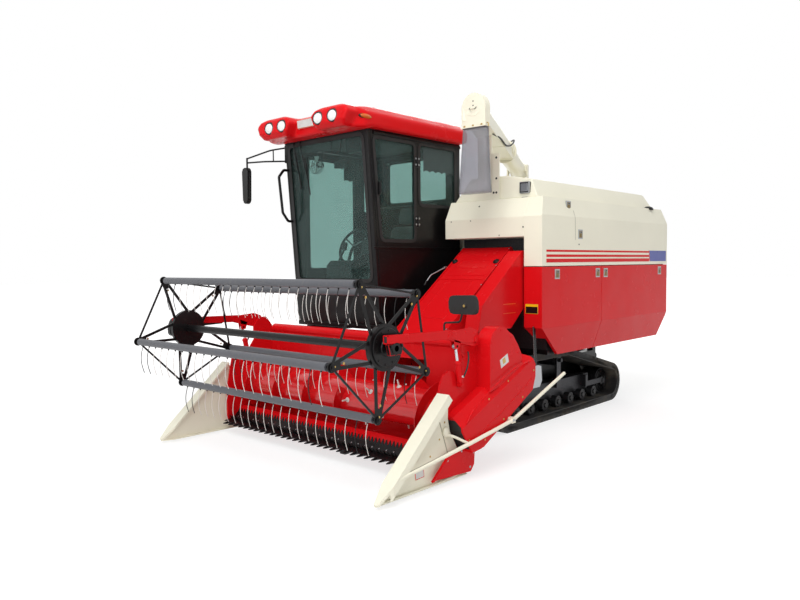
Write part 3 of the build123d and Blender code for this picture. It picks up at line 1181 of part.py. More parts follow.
def reel_frame():
    """Shaft with a five-armed spider at each end, bored for the tine bars' journals."""
    shaft = rod((-SPIDER_X, REEL_Y, REEL_Z), (SPIDER_X, REEL_Y, REEL_Z), REEL_SHAFT_R)
    pins = rod((-ARM_X - ARM_W / 2, REEL_Y, REEL_Z), (ARM_X + ARM_W / 2, REEL_Y, REEL_Z), REEL_PIN_R)
    pieces = [pins]
    bores = []
    for side in (-1, 1):
        x0, x1 = sorted((side * SPIDER_X, side * (SPIDER_X + SPIDER_T)))
        pieces.append(rod((x0 - 12, REEL_Y, REEL_Z), (x1 + 12, REEL_Y, REEL_Z), 157))
        places = [bar_place(angle) for angle in bar_angles()]
        for index, (y, z) in enumerate(places):
            out = Vector(y - REEL_Y, z - REEL_Z, 0).normalized()
            for way in (-1, 1):
                foot = (REEL_Y + out.X * 110 - way * out.Y * 72, REEL_Z + out.Y * 110 + way * out.X * 72)
                head = (y - out.X * 50 - way * out.Y * 20, z - out.Y * 50 + way * out.X * 20)
                pieces.append(prism(strip(foot, head, 11), "x", x0, x1))
            pieces.append(prism(strip((y - out.X * 75, z - out.Y * 75), (y, z), 31), "x", x0, x1))
            pieces.append(rod((x0, y, z), (x1, y, z), 34))
            pieces.append(prism(strip((y, z), places[(index + 1) % REEL_BARS], 7), "x", x0, x1))
            bores.append(rod((x0 - 5, y, z), (x1 + 5, y, z), BAR_PIN_R + RUNNING))
    return cut(join(shaft, *pieces), *bores)


def reel_barrel(x):
    low, top = Vector(x, *CYL_LOW), Vector(x, *CYL_TOP)
    way = (top - low).normalized()
    body = rod(low, low + way * CYL_BARREL, CYL_R)
    bore = rod(low + way * 30, low + way * (CYL_BARREL + 5), CYL_ROD_R + RUNNING)
    eye = rod((x - 16, *CYL_LOW), (x + 16, *CYL_LOW), 22)
    return cut(join(cut(body, bore), eye), rod((x - 30, *CYL_LOW), (x + 30, *CYL_LOW), CYL_PIN_R + RUNNING))


def reel_rod(x):
    low, top = Vector(x, *CYL_LOW), Vector(x, *CYL_TOP)
    way = (top - low).normalized()
    shank = rod(low + way * 70, top, CYL_ROD_R)
    eye = rod((x - 11, *CYL_TOP), (x + 11, *CYL_TOP), CYL_EYE_R)
    return cut(join(shank, eye), rod((x - 20, *CYL_TOP), (x + 20, *CYL_TOP), CYL_PIN_R + CYL_DRIFT))


# ---------------------------------------------------------------- header lift cylinder
def lift_way():
    return (Vector(0, LIFT_EYE_Y, LIFT_EYE_Z) - Vector(0, LIFT_BASE_Y, LIFT_BASE_Z)).normalized()


def lift_barrel():
    base = Vector(LIFT_X, LIFT_BASE_Y, LIFT_BASE_Z)
    way = lift_way()
    body = rod(base, base + way * 470, 34)
    bore = rod(base + way * 50, base + way * 480, 20 + RUNNING)
    eye = rod((LIFT_X - LIFT_EYE_W / 2, LIFT_BASE_Y, LIFT_BASE_Z),
              (LIFT_X + LIFT_EYE_W / 2, LIFT_BASE_Y, LIFT_BASE_Z),
              LIFT_EYE_R)
    pin = rod((LIFT_X - 60, LIFT_BASE_Y, LIFT_BASE_Z), (LIFT_X + 60, LIFT_BASE_Y, LIFT_BASE_Z),
              LIFT_PIN_R + RUNNING)
    slot = [block(x - 12, x + 12, LIFT_BASE_Y - 60, LIFT_BASE_Y + 60, LIFT_BASE_Z - 60, LIFT_BASE_Z + 60)
            for x in (LIFT_X - LIFT_EYE_W / 2 - 12, LIFT_X + LIFT_EYE_W / 2 + 12)]
    return cut(join(cut(body, bore), eye), pin, *slot)


def lift_rod():
    base, end = Vector(LIFT_X, LIFT_BASE_Y, LIFT_BASE_Z), Vector(LIFT_X, LIFT_EYE_Y, LIFT_EYE_Z)
    way = lift_way()
    shank = rod(base + way * 60, end, 20)
    eye = rod((LIFT_X - LIFT_EYE_W / 2, LIFT_EYE_Y, LIFT_EYE_Z),
              (LIFT_X + LIFT_EYE_W / 2, LIFT_EYE_Y, LIFT_EYE_Z),
              LIFT_EYE_R)
    pin = rod((LIFT_X - 60, LIFT_EYE_Y, LIFT_EYE_Z), (LIFT_X + 60, LIFT_EYE_Y, LIFT_EYE_Z),
              LIFT_PIN_R + LIFT_DRIFT)
    return cut(join(shank, eye), pin)


# ---------------------------------------------------------------- assembly
def parts():
    shell = side_shell()
    upper, red_front, red_rear = side_panels(shell)
    base, cushion, back, head = seat()
    arm = reel_arm()
    left_track = track()
    nodes = {
        "chassis_frame": chassis(), "transmission": transmission(),
        "track_left": left_track, "track_right": mirrored(left_track),
        "track_frames": both(track_frame()),
        "track_wheels": track_rollers() + both(idler()) + both(sprocket()),
        "thresher": thresher_core(), "left_upper_panel": upper,
        "left_front_panel": red_front, "left_rear_panel": red_rear,
        "front_wing": front_wing(), "top_deck": top_deck(), "hump_cover": hump(),
        "grain_tank": grain_tank(), "engine": engine(),
        "radiator_door": radiator_door(), "right_rear_panel": right_panel(), "rear_cover": rear_cover(),
        "cab_floor": cab_floor(), "cab_front_frame": cab_front(), "windscreen": windscreen(),
        "cab_left_wall": cab_left_wall(), "cab_rear_wall": cab_rear_wall(),
        "cab_right_wall": cab_right_wall(),
        "cab_glass": [*cab_left_glass(), cab_rear_glass(), cab_right_glass()],
        "cab_door": cab_door(), "cab_door_glass": cab_door_glass(),
        "cab_roof": cab_roof(), "roof_lamps": roof_lamps(),
        "seat_cushions": [cushion, back, head], "console": [base, *console()],
        "grab_rail": grab_rail(), "right_mirror": right_mirror(),
        "unloader_stub": [unload_stub(), unload_support()], "unloader_elbow": unload_elbow(),
        "unloader_boom": unload_boom(), "discharge_chute": discharge_chute(),
        "feeder_house": feeder_house(), "feeder_shield": feeder_shield(), "left_mirror": left_mirror(),
        "header_frame": header_frame(), "cutter_bar": cutter_bar(),
        "dividers": both(join(divider(), crop_bar())), "drive_shields": drive_shields(),
        "header_auger": header_auger(),
        "reel_arms": both(arm), "reel_frame": reel_frame(),
        "reel_barrels": [reel_barrel(ARM_X), reel_barrel(-ARM_X)],
        "reel_rods": [reel_rod(ARM_X), reel_rod(-ARM_X)],
        "lift_barrel": lift_barrel(), "lift_rod": lift_rod(),
    }
    for index, angle in enumerate(bar_angles()):
        nodes[f"tine_bar_{index + 1}"] = tine_bar(angle)
    return nodes


def main():
    os.makedirs("parts", exist_ok=True)
    for name, shape in parts().items():
        pieces = shape if isinstance(shape, list) else [shape]
        solids = [solid for piece in pieces for solid in piece.solids()]
        export_step(Compound(children=solids) if len(solids) > 1 else solids[0], f"parts/{name}.step")


if __name__ == "__main__":
    main()
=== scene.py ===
"""Looks of a tracked rice combine harvester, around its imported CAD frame. Metres, Z up, front towards -Y."""
import json
import math
import random

import bmesh
import bpy
from mathutils import Matrix, Vector
from mathutils.geometry import convex_hull_2d

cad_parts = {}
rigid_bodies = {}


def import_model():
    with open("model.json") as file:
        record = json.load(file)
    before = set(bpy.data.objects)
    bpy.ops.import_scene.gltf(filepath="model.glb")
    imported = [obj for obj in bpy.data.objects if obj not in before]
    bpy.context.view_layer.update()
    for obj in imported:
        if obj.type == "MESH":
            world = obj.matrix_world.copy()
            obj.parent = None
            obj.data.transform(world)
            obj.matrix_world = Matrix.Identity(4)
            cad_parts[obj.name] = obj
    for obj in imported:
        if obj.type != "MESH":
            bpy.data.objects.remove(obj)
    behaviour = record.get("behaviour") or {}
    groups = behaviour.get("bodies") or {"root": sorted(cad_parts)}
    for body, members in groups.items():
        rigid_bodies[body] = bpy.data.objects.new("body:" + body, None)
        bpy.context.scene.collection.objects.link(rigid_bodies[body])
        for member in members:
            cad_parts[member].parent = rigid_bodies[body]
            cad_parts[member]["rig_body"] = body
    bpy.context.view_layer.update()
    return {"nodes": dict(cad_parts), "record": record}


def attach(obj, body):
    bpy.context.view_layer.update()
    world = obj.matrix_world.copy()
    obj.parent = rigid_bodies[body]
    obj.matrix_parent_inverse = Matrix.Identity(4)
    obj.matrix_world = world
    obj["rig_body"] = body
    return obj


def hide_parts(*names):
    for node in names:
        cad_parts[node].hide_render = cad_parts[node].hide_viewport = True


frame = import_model()
nodes = frame["nodes"]
SLOTS = {part["node"]: part["material_slot"] for part in frame["record"]["subparts"]}
random.seed(7)


# ---- materials
def linear(r, g, b):
    """Colour as seen on a screen, turned into the linear values that shaders take."""
    return tuple(c / 12.92 if c <= 0.04045 else ((c + 0.055) / 1.055) ** 2.4 for c in (r, g, b)) + (1.0,)


DUST = linear(0.62, 0.58, 0.50)
WHITE = (1, 1, 1, 1)


def darker(colour, share):
    return tuple(c * share for c in colour[:3]) + (1.0,)


def new_material(name):
    material = bpy.data.materials.new(name)
    material.use_nodes = True
    return material, material.node_tree, material.node_tree.nodes["Principled BSDF"]


def fill(tree, made, *ordered, **named):
    """Sets a node's inputs, in order or by name; a node or socket is linked, None leaves an input alone."""
    rows = [*enumerate(ordered), *((key.replace("_", " "), value) for key, value in named.items())]
    for key, value in rows:
        if isinstance(value, bpy.types.Node):
            value = value.outputs[0]
        if isinstance(value, bpy.types.NodeSocket):
            tree.links.new(value, made.inputs[key])
        elif value is not None:
            made.inputs[key].default_value = value
    return made


def node(tree, kind, *ordered, **named):
    return fill(tree, tree.nodes.new("ShaderNode" + kind), *ordered, **named)


def place(tree):
    """Coordinates of the piece itself, in metres."""
    return node(tree, "TexCoord").outputs["Object"]


def noise(tree, scale, detail=3.0, stretch=(1, 1, 1)):
    return node(tree, "TexNoise", Vector=node(tree, "Mapping", Vector=place(tree), Scale=stretch),
                Scale=scale, Detail=detail)


def ramp(tree, value, low, high):
    """Value stretched so that low comes out as 0 and high as 1."""
    return node(tree, "MapRange", Value=value, From_Min=low, From_Max=high)


def scaled(tree, value, low, high):
    """Value from 0 to 1 turned into low to high."""
    return node(tree, "MapRange", Value=value, To_Min=low, To_Max=high)


def mixed(tree, share, first, second):
    made = node(tree, "Mix")
    made.data_type = "RGBA"
    of_other_types = [None] * 5
    return fill(tree, made, share, *of_other_types, first, second).outputs[2]


def shaded(tree, value, colour, share):
    """Colour that turns a little darker where the value is high."""
    return mixed(tree, ramp(tree, value, 0.3, 0.7), colour, darker(colour, share))


def maths(tree, operation, *values):
    made = node(tree, "Math", *values)
    made.operation = operation
    return made


def bump(tree, height, distance):
    return node(tree, "Bump", Height=height, Distance=distance)


def painted(name, colour, rough=0.3, coat=0.12, shine=0.3, dust=0.03, wear=0.06):
    """Sprayed paint on sheet: slight shade changes, a soft coat, gentle waves and a little dust."""
    material, tree, shader = new_material(name)
    base = mixed(tree, ramp(tree, noise(tree, 1.7, 2.0), 0.35, 0.65), colour, darker(colour, 1 - wear))
    specks = ramp(tree, noise(tree, 38.0, 6.0), 0.56, 0.76)
    peel = maths(tree, "MULTIPLY_ADD", noise(tree, 260.0, 1.0), 0.02, noise(tree, 2.3, 1.0))
    fill(tree, shader, Base_Color=mixed(tree, scaled(tree, specks, 0.0, dust), base, DUST),
         Roughness=scaled(tree, noise(tree, 9.0, 5.0), rough - 0.07, rough + 0.09), Specular_IOR_Level=shine,
         Coat_Weight=coat, Coat_Roughness=0.10, Normal=bump(tree, peel, 0.012))
    return material


def metal(name, colour, rough=0.3, stretch=(1, 1, 1)):
    material, tree, shader = new_material(name)
    streaks = noise(tree, 60.0, 6.0, stretch)
    fill(tree, shader, Base_Color=shaded(tree, streaks, colour, 0.78), Metallic=1.0,
         Roughness=scaled(tree, streaks, rough - 0.1, rough + 0.12), Normal=bump(tree, streaks, 0.0004))
    return material


def rubber(name, colour, dust=0.25):
    material, tree, shader = new_material(name)
    cloud = ramp(tree, noise(tree, 6.0, 8.0), 0.42, 0.72)
    fill(tree, shader, Base_Color=mixed(tree, scaled(tree, cloud, 0.0, dust), colour, DUST),
         Roughness=scaled(tree, cloud, 0.60, 0.87),
         Normal=bump(tree, noise(tree, 120.0, 5.0), 0.0012))
    return material


def plastic(name, colour, rough=0.45):
    material, tree, shader = new_material(name)
    cloud = noise(tree, 4.0, 4.0)
    fill(tree, shader, Base_Color=shaded(tree, cloud, colour, 0.85),
         Roughness=scaled(tree, cloud, rough - 0.08, rough + 0.1),
         Normal=bump(tree, noise(tree, 700.0, 2.0), 0.0003))
    return material


def glass(name, tint, film, haze, rough):
    """Clear sheet that lets the lamps through, with a faint film of dust on it."""
    material, tree, shader = new_material(name)
    tree.nodes.remove(shader)
    facing = node(tree, "LayerWeight", Blend=0.5).outputs["Facing"]
    pane = node(tree, "MixShader", scaled(tree, maths(tree, "POWER", facing, 5.0), 0.015, 0.55),
                node(tree, "BsdfTransparent", Color=tint),
                node(tree, "BsdfGlossy", Color=(0.9, 0.95, 0.95, 1), Roughness=rough + 0.01))
    cloud = ramp(tree, noise(tree, 3.0, 7.0), 0.3, 0.8)
    veil = node(tree, "MixShader", scaled(tree, cloud, haze * 0.6, haze * 1.4), pane,
                node(tree, "BsdfDiffuse", Color=film))
    fill(tree, tree.nodes["Material Output"], veil)
    return material


def cloth(name, colour):
    material, tree, shader = new_material(name)
    waves = []
    for direction in ("X", "Z"):
        wave = node(tree, "TexWave", Vector=place(tree), Scale=130.0, Distortion=0.6)
        wave.bands_direction = direction
        waves.append(wave.outputs["Fac"])
    fill(tree, shader, Base_Color=shaded(tree, noise(tree, 14.0, 6.0), colour, 0.7), Roughness=0.85,
         Sheen_Weight=0.25, Normal=bump(tree, maths(tree, "MULTIPLY_ADD", waves[1], 1.0, waves[0]), 0.0008))
    return material


RED = (0.84, 0.075, 0.10)
FINISHES = (
    (painted, "red_paint", RED, dict(rough=0.24, coat=0.035, shine=0.08, wear=0.02, dust=0.01)),
    (painted, "polished_red", RED, dict(rough=0.16, coat=0.4, shine=0.4, wear=0.02, dust=0.02)),
    (painted, "cream_paint", (0.945, 0.93, 0.85), dict(rough=0.34, coat=0.1, wear=0.03)),
    (painted, "black_paint", (0.06, 0.055, 0.06), dict(coat=0.05, shine=0.2)),
    (painted, "grey_paint", (0.355, 0.36, 0.38), dict(rough=0.38, coat=0.05, shine=0.25, dust=0.10)),
    (painted, "blue_plate", (0.24, 0.29, 0.62), {}),
    (painted, "yellow_plate", (0.95, 0.78, 0.10), {}),
    (painted, "label_orange", (0.90, 0.28, 0.12), {}),
    (painted, "seam_shade", (0.66, 0.64, 0.57), dict(rough=0.5)),
    (painted, "latch_brown", (0.50, 0.43, 0.26), dict(rough=0.4)),
    (metal, "dark_steel", (0.30, 0.30, 0.31), dict(rough=0.5)),
    (metal, "bare_steel", (0.70, 0.71, 0.72), dict(stretch=(1, 8, 1))),
    (metal, "brass", (0.78, 0.66, 0.40), {}),
    (metal, "chrome", (0.86, 0.87, 0.88), dict(rough=0.14, stretch=(1, 1, 6))),
    (rubber, "track_rubber", (0.13, 0.125, 0.125), {}),
    (rubber, "rubber_seal", (0.07, 0.07, 0.075), dict(dust=0.03)),
    (plastic, "cab_plastic", (0.13, 0.13, 0.14), {}),
    (plastic, "pale_plastic", (0.86, 0.86, 0.85), {}),
    (plastic, "lamp_glass", (0.93, 0.93, 0.93), dict(rough=0.12)),
    (plastic, "lens", (0.97, 0.97, 0.96), dict(rough=0.15)),
    (plastic, "amber_lens", (0.86, 0.42, 0.08), dict(rough=0.12)),
    (plastic, "grey_lens", (0.45, 0.46, 0.48), dict(rough=0.2)),
    (plastic, "red_lens", (0.75, 0.06, 0.06), dict(rough=0.12)),
    (plastic, "tine_wire", (0.86, 0.84, 0.82), dict(rough=0.4)),
    (glass, "cab_glass", (0.83, 0.89, 0.88), dict(film=linear(0.62, 0.74, 0.72), haze=0.05, rough=0.02)),
    (glass, "clear_plastic", (0.88, 0.88, 0.89), dict(film=linear(0.80, 0.80, 0.82), haze=0.20, rough=0.05)),
    (cloth, "seat_fabric", (0.42, 0.44, 0.44), {}),
    (cloth, "cloth_lining", (0.30, 0.31, 0.32), {}))
MATERIALS = {name: make(name, linear(*colour), **options) for make, name, colour, options in FINISHES}

for name, slot in SLOTS.items():
    materials = nodes[name].data.materials
    if not materials:
        materials.append(MATERIALS[slot])
    for index in range(len(materials)):
        materials[index] = MATERIALS[slot]


# ---- shapes
MM = 0.001
LEFT, RIGHT, REAR, FRONT = (1, 0, 0), (-1, 0, 0), (0, 1, 0), (0, -1, 0)
UP, DOWN = (0, 0, 1), (0, 0, -1)


def arc(count, parts, start=0.0):
    """Cosine and sine of count directions, each a part of a turn after the one before it."""
    angles = [start + 2 * math.pi * index / parts for index in range(count)]
    return [(math.cos(angle), math.sin(angle)) for angle in angles]


def oblong(a0, a1, b0, b1):
    return [(a0, b0), (a1, b0), (a1, b1), (a0, b1)]


def on_plane(axis, at, pairs):
    """Outline in the two other axes, set at a place on one axis."""
    index = "xyz".index(axis)
    return [(*pair[:index], at, *pair[index:]) for pair in pairs]


class Piece:
    """Gathers shapes, given in millimetres, into one mesh that rides on a body."""

    def __init__(self, name, body, *finishes):
        self.name, self.body, self.finishes = name, body, finishes
        self.mesh = bmesh.new()

    def skin(self, rings, finish=0, caps=True):
        """Faces between closed rings of points; the first and last ring are closed by caps."""
        rows = [[self.mesh.verts.new(Vector(p) * MM) for p in ring] for ring in rings]
        faces = []
        for near, far in zip(rows, rows[1:]):
            for a in range(len(near)):
                b = (a + 1) % len(near)
                faces.append(self.mesh.faces.new((near[a], near[b], far[b], far[a])))
        if caps:
            faces.append(self.mesh.faces.new(rows[0][::-1]))
            faces.append(self.mesh.faces.new(rows[-1]))
        for face in faces:
            face.material_index = finish
            face.smooth = True
        return faces

    def slab(self, corners, shift, finish=0, edge=0.0):
        """Flat outline moved along a vector, its edges rounded."""
        faces = self.skin([corners, [Vector(c) + Vector(shift) for c in corners]], finish)
        if edge:
            edges = list({e for face in faces for e in face.edges})
            bmesh.ops.bevel(self.mesh, geom=edges, offset=edge * MM, segments=2, affect="EDGES", profile=0.6)

    def plate(self, outline, axis, start, stop, finish=0, edge=0.0):
        """Outline in the two other axes, swept along one axis from start to stop."""
        shift = [stop - start if axis == name else 0 for name in "xyz"]
        self.slab(on_plane(axis, start, outline), shift, finish, edge)

    def box(self, x0, x1, y0, y1, z0, z1, finish=0, edge=2.0):
        self.plate(oblong(x0, x1, y0, y1), "z", z0, z1, finish, edge)

    def boxes(self, finish, edge, *rows):
        for row in rows:
            self.box(*row, finish, edge)

    def turned(self, at, axis, profile, finish=0, sides=24):
        """Round shape: (distance along the axis, radius) rows turned about the axis through a point."""
        at, axis = Vector(at), Vector(axis).normalized()
        across = axis.orthogonal().normalized()
        other = axis.cross(across)
        self.skin([[at + axis * along + (across * c + other * s) * max(radius, 0.05)
                    for c, s in arc(sides, sides)] for along, radius in profile], finish)

    def rod(self, start, end, radius, finish=0, sides=16, edge=1.0):
        way = Vector(end) - Vector(start)
        self.turned(start, way, [(0, radius - edge), (edge, radius), (way.length - edge, radius),
                                 (way.length, radius - edge)], finish, sides)

    def bolts(self, places, axis, radius=6.0, finish=0):
        """Hexagon heads on washers."""
        for at in places:
            self.turned(at, axis, [(0, radius * 1.5), (1.2, radius * 1.5), (1.4, radius * 1.4)], finish, 14)
            self.turned(at, axis, [(1.0, radius * 1.05), (radius * 0.6, radius * 1.05),
                                   (radius * 0.75, radius * 0.85)], finish, 6)

    def tube(self, points, radius, finish=0, sides=10, bend=0.0):
        """Round bar through points, with an arc of a given size at each corner."""
        line = bent(points, bend) if bend else [Vector(p) for p in points]
        self.sweep(line, [(radius * c, radius * s) for c, s in arc(sides, sides)], finish)

    def sweep(self, line, section, finish=0):
        """Section carried along a line of points without twist."""
        across = (line[1] - line[0]).orthogonal().normalized()
        rings = []
        for index, point in enumerate(line):
            before, after = line[max(index - 1, 0)], line[min(index + 1, len(line) - 1)]
            ahead = (after - before).normalized()
            across = (across - ahead * across.dot(ahead)).normalized()
            other = ahead.cross(across)
            rings.append([point + across * a + other * b for a, b in section])
        self.skin(rings, finish)

    def hoop(self, line, normal, inward, outward, low, high, finish=0):
        """Frame along a closed flat outline: inward to outward of it, and low to high along its normal."""
        normal = Vector(normal).normalized()
        rings = []
        for index, point in enumerate(line):
            side = (line[(index + 1) % len(line)] - line[index - 1]).normalized().cross(normal)
            rings.append([point + side * a + normal * b for a, b in oblong(-inward, outward, low, high)])
        self.skin(rings + rings[:1], finish, caps=False)

    def done(self, *replaced, slot=None, sharp=35.0):
        """Makes the object; it stands for the named CAD nodes."""
        bmesh.ops.remove_doubles(self.mesh, verts=self.mesh.verts, dist=0.000001)
        bmesh.ops.recalc_face_normals(self.mesh, faces=self.mesh.faces)
        made = placed(self.name, self.mesh, [MATERIALS[finish] for finish in self.finishes], sharp)
        if sharp < 90:
            flat_shaded(made)
        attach(made, self.body)
        if replaced:
            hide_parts(*replaced)
        return made


def linked(name, data):
    made = bpy.data.objects.new(name, data)
    bpy.context.scene.collection.objects.link(made)
    return made


def placed(name, mesh, materials, sharp):
    """Object from a built mesh, smooth but for the edges that turn by more than an angle."""
    data = bpy.data.meshes.new(name)
    mesh.to_mesh(data)
    mesh.free()
    for material in materials:
        data.materials.append(material)
    data.set_sharp_from_angle(angle=math.radians(sharp))
    return linked(name, data)


def modified(made, name, kind, **settings):
    change = made.modifiers.new(name, kind)
    for key, value in settings.items():
        setattr(change, key, value)


def flat_shaded(made):
    """Keeps large flat faces flat: the small faces of rounded edges carry the turn of the light."""
    modified(made, "weighted", "WEIGHTED_NORMAL", mode="FACE_AREA", weight=100, keep_sharp=True)


def eased(before, corner, after, size, most, steps):
    """Curve in a corner's place that starts a size before it, or at most a share of the side."""
    back, ahead = before - corner, after - corner
    start = corner + back.normalized() * min(size, back.length * most)
    end = corner + ahead.normalized() * min(size, ahead.length * most)
    shares = [step / steps for step in range(steps + 1)]
    return [start * (1 - t) ** 2 + corner * 2 * t * (1 - t) + end * t ** 2 for t in shares]


def bent(points, bend):
    """Open line of points with its corners eased."""
    points = [Vector(p) for p in points]
    line = points[:1]
    for before, corner, after in zip(points, points[1:], points[2:]):
        line += eased(before, corner, after, bend, 0.48, 6)
    return line + points[-1:]


def round_corners(points, radius, steps=4):
    """Closed outline with its corners eased."""
    points = [Vector(p) for p in points]
    line = []
    for index, corner in enumerate(points):
        line += eased(points[index - 1], corner, points[(index + 1) % len(points)], radius, 0.49, steps)
    return line


def body_of(name):
    return nodes[name]["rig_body"]


def shown_for(name, made):
    """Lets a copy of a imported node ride, count and be seen in its place."""
    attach(made, body_of(name))
    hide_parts(name)
    return made


def rounded(name, width=6.0, fold=12.0):
    """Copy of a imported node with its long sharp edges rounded."""
    mesh = bmesh.new()
    mesh.from_mesh(nodes[name].data)
    bmesh.ops.remove_doubles(mesh, verts=mesh.verts, dist=0.00002)
    bmesh.ops.dissolve_limit(mesh, angle_limit=math.radians(0.6), verts=mesh.verts, edges=mesh.edges)
    sharp = [e for e in mesh.edges if len(e.link_faces) == 2 and e.calc_length() > 3 * width * MM
             and e.calc_face_angle(0) > math.radians(fold)]
    bmesh.ops.bevel(mesh, geom=sharp, offset=width * MM, segments=3, affect="EDGES", profile=0.5,
                    clamp_overlap=True)
    for face in mesh.faces:
        face.smooth = True
    made = placed(name + "_skin", mesh, [MATERIALS[SLOTS[name]]], 40)
    flat_shaded(made)
    return shown_for(name, made)


def moulded(name, voxel, rounds, swell):
    """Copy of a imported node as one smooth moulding, its edges melted together."""
    made = linked(name + "_skin", nodes[name].data.copy())
    made.data.name = made.name
    modified(made, "voxels", "REMESH", mode="VOXEL", voxel_size=voxel * MM, use_smooth_shade=True)
    modified(made, "soft", "SMOOTH", factor=0.5, iterations=rounds)
    modified(made, "full", "DISPLACE", strength=swell * MM, mid_level=0.0)
    shown_for(name, made)


def slimmed(made, y, z, radius):
    """Draws a shaft along X in by half a millimetre, so that its facets turn freely in their bores."""
    for vertex in made.data.vertices:
        dy, dz = vertex.co.y - y * MM, vertex.co.z - z * MM
        if math.hypot(dy, dz) < (radius + 1) * MM:
            share = (radius - 0.5) / radius
            vertex.co.y = y * MM + dy * share
            vertex.co.z = z * MM + dz * share


EDGE_WIDTHS = (
    (7, "left_upper_panel", "left_front_panel", "left_rear_panel", "front_wing"), (4, "top_deck"),
    (24, "hump_cover"), (7, "grain_tank"), (5, "right_rear_panel", "rear_cover"), (4, "radiator_door"),
    (8, "cab_front_frame"), (6, "cab_left_wall", "cab_rear_wall", "cab_right_wall", "cab_door"),
    (5, "cab_floor"), (6, "feeder_shield"), (3, "header_frame", "dividers"), (7, "drive_shields"),
    (4, "chassis_frame"), (6, "transmission"), (8, "console"), (3, "unloader_stub", "unloader_elbow"),
    (4, "track_frames"), (6, "track_left", "track_right"))
FEEDER_Y, FEEDER_Z, FEEDER_SHAFT_R = 10, 1435, 30
for width, *names in EDGE_WIDTHS:
    for name in names:
        rounded(name, width)
slimmed(rounded("feeder_house", 4, fold=24.0), FEEDER_Y, FEEDER_Z, FEEDER_SHAFT_R)
moulded("cab_roof", voxel=9, rounds=26, swell=7)


# ---- reel
REEL_Y, REEL_Z, REEL_R = -2132, 1006, 475
REEL_PHASE, REEL_BARS = 62.33, 5
REEL_HALF = 1155
SPIDER_X = 1190
BAR_R = 28
TINE_PITCH, TINE_LENGTH, TINE_SWAY = 100, 225, 30


def evenly(count, pitch):
    """Places along X, evenly spread about the middle."""
    return [(index - (count - 1) / 2) * pitch for index in range(count)]


def polar(radius, degrees):
    return radius * math.cos(math.radians(degrees)), radius * math.sin(math.radians(degrees))


def bar_place(index):
    dy, dz = polar(REEL_R, REEL_PHASE + index * 360 / REEL_BARS)
    return REEL_Y - dy, REEL_Z + dz


def tine_bars():
    """Grey tubes with their rows of curved wire tines."""
    places = evenly(int(2 * REEL_HALF / TINE_PITCH), TINE_PITCH)
    near_spiders = (0, 1, len(places) - 2)
    for index in range(REEL_BARS):
        y, z = bar_place(index)
        name = f"tine_bar_{index + 1}"
        bar = Piece(f"tine_row_{index + 1}", name, "grey_paint", "tine_wire", "black_paint")
        bar.rod((-REEL_HALF, y, z), (REEL_HALF, y, z), BAR_R, 0, 28, 2)
        bar.rod((-SPIDER_X - 10, y, z), (SPIDER_X + 10, y, z), 14, 2, 16)
        start = z - BAR_R + 2
        for tine, x in enumerate(places):
            lean = random.uniform(-5, 5)
            line = [(x + lean * t * t, y + 6 - TINE_SWAY * math.sin(math.pi * (0.08 + 0.86 * t)),
                     start - TINE_LENGTH * t) for t in (step / 10 for step in range(11))]
            bar.tube(line, *((3.0, 2) if tine in near_spiders else (2.4, 1)), 7)
            bar.rod((x, y - 2, start + 6), (x, y - 4, start - 10), 6, 2, 10)
        bar.done(name)


tine_bars()


# ---- crop auger and knife
HEADER_HALF = 1245
AUGER_Y, AUGER_Z, AUGER_TUBE_R, AUGER_R = -1420, 460, 150, 235
FEEDER_X0, FEEDER_X1 = 200, 750
FLIGHT_PITCH, FLIGHT_STEPS = 400, 48
KNIFE_Y, KNIFE_Z, GUARD_PITCH = -1660, 112, 76.2


def crop_auger():
    auger = Piece("crop_auger_wound", "crop_auger", "polished_red", "bare_steel", "tine_wire")
    ends = HEADER_HALF - 6
    auger.rod((-ends, AUGER_Y, AUGER_Z), (ends, AUGER_Y, AUGER_Z), AUGER_TUBE_R, 0, 64, 3)
    auger.rod((-ends - 14, AUGER_Y, AUGER_Z), (ends + 14, AUGER_Y, AUGER_Z), 25, 1, 20)
    root, tip = AUGER_TUBE_R - 4, AUGER_R - 2
    section = ((-3, root), (3, root), (3, tip), (2, AUGER_R), (-2, AUGER_R), (-3, tip))
    for start, stop, hand in ((HEADER_HALF - 8, FEEDER_X1, 1), (-HEADER_HALF + 8, FEEDER_X0, -1)):
        steps = round(abs(stop - start) / FLIGHT_PITCH * FLIGHT_STEPS)
        rings = []
        for index in range(steps + 1):
            x = start + (stop - start) * index / steps
            dy, dz = polar(1, hand * 360 / FLIGHT_STEPS * index)
            rings.append([(x + dx, AUGER_Y + dy * radius, AUGER_Z + dz * radius) for dx, radius in section])
        auger.skin(rings)
    finger = [(0, 20), (6, 20), (8, 13), (14, 12), (16, 7), (62, 6), (64, 4)]
    for row in range(5):
        x = FEEDER_X0 + 40 + row * (FEEDER_X1 - FEEDER_X0 - 80) / 4
        for half in (0, 180):
            dy, dz = polar(1, row * 72 + half)
            foot = (x, AUGER_Y + dy * (AUGER_TUBE_R - 3), AUGER_Z + dz * (AUGER_TUBE_R - 3))
            auger.turned(foot, (0, dy, dz), finger, 2, 14)
    auger.done("header_auger", slot="red_paint")


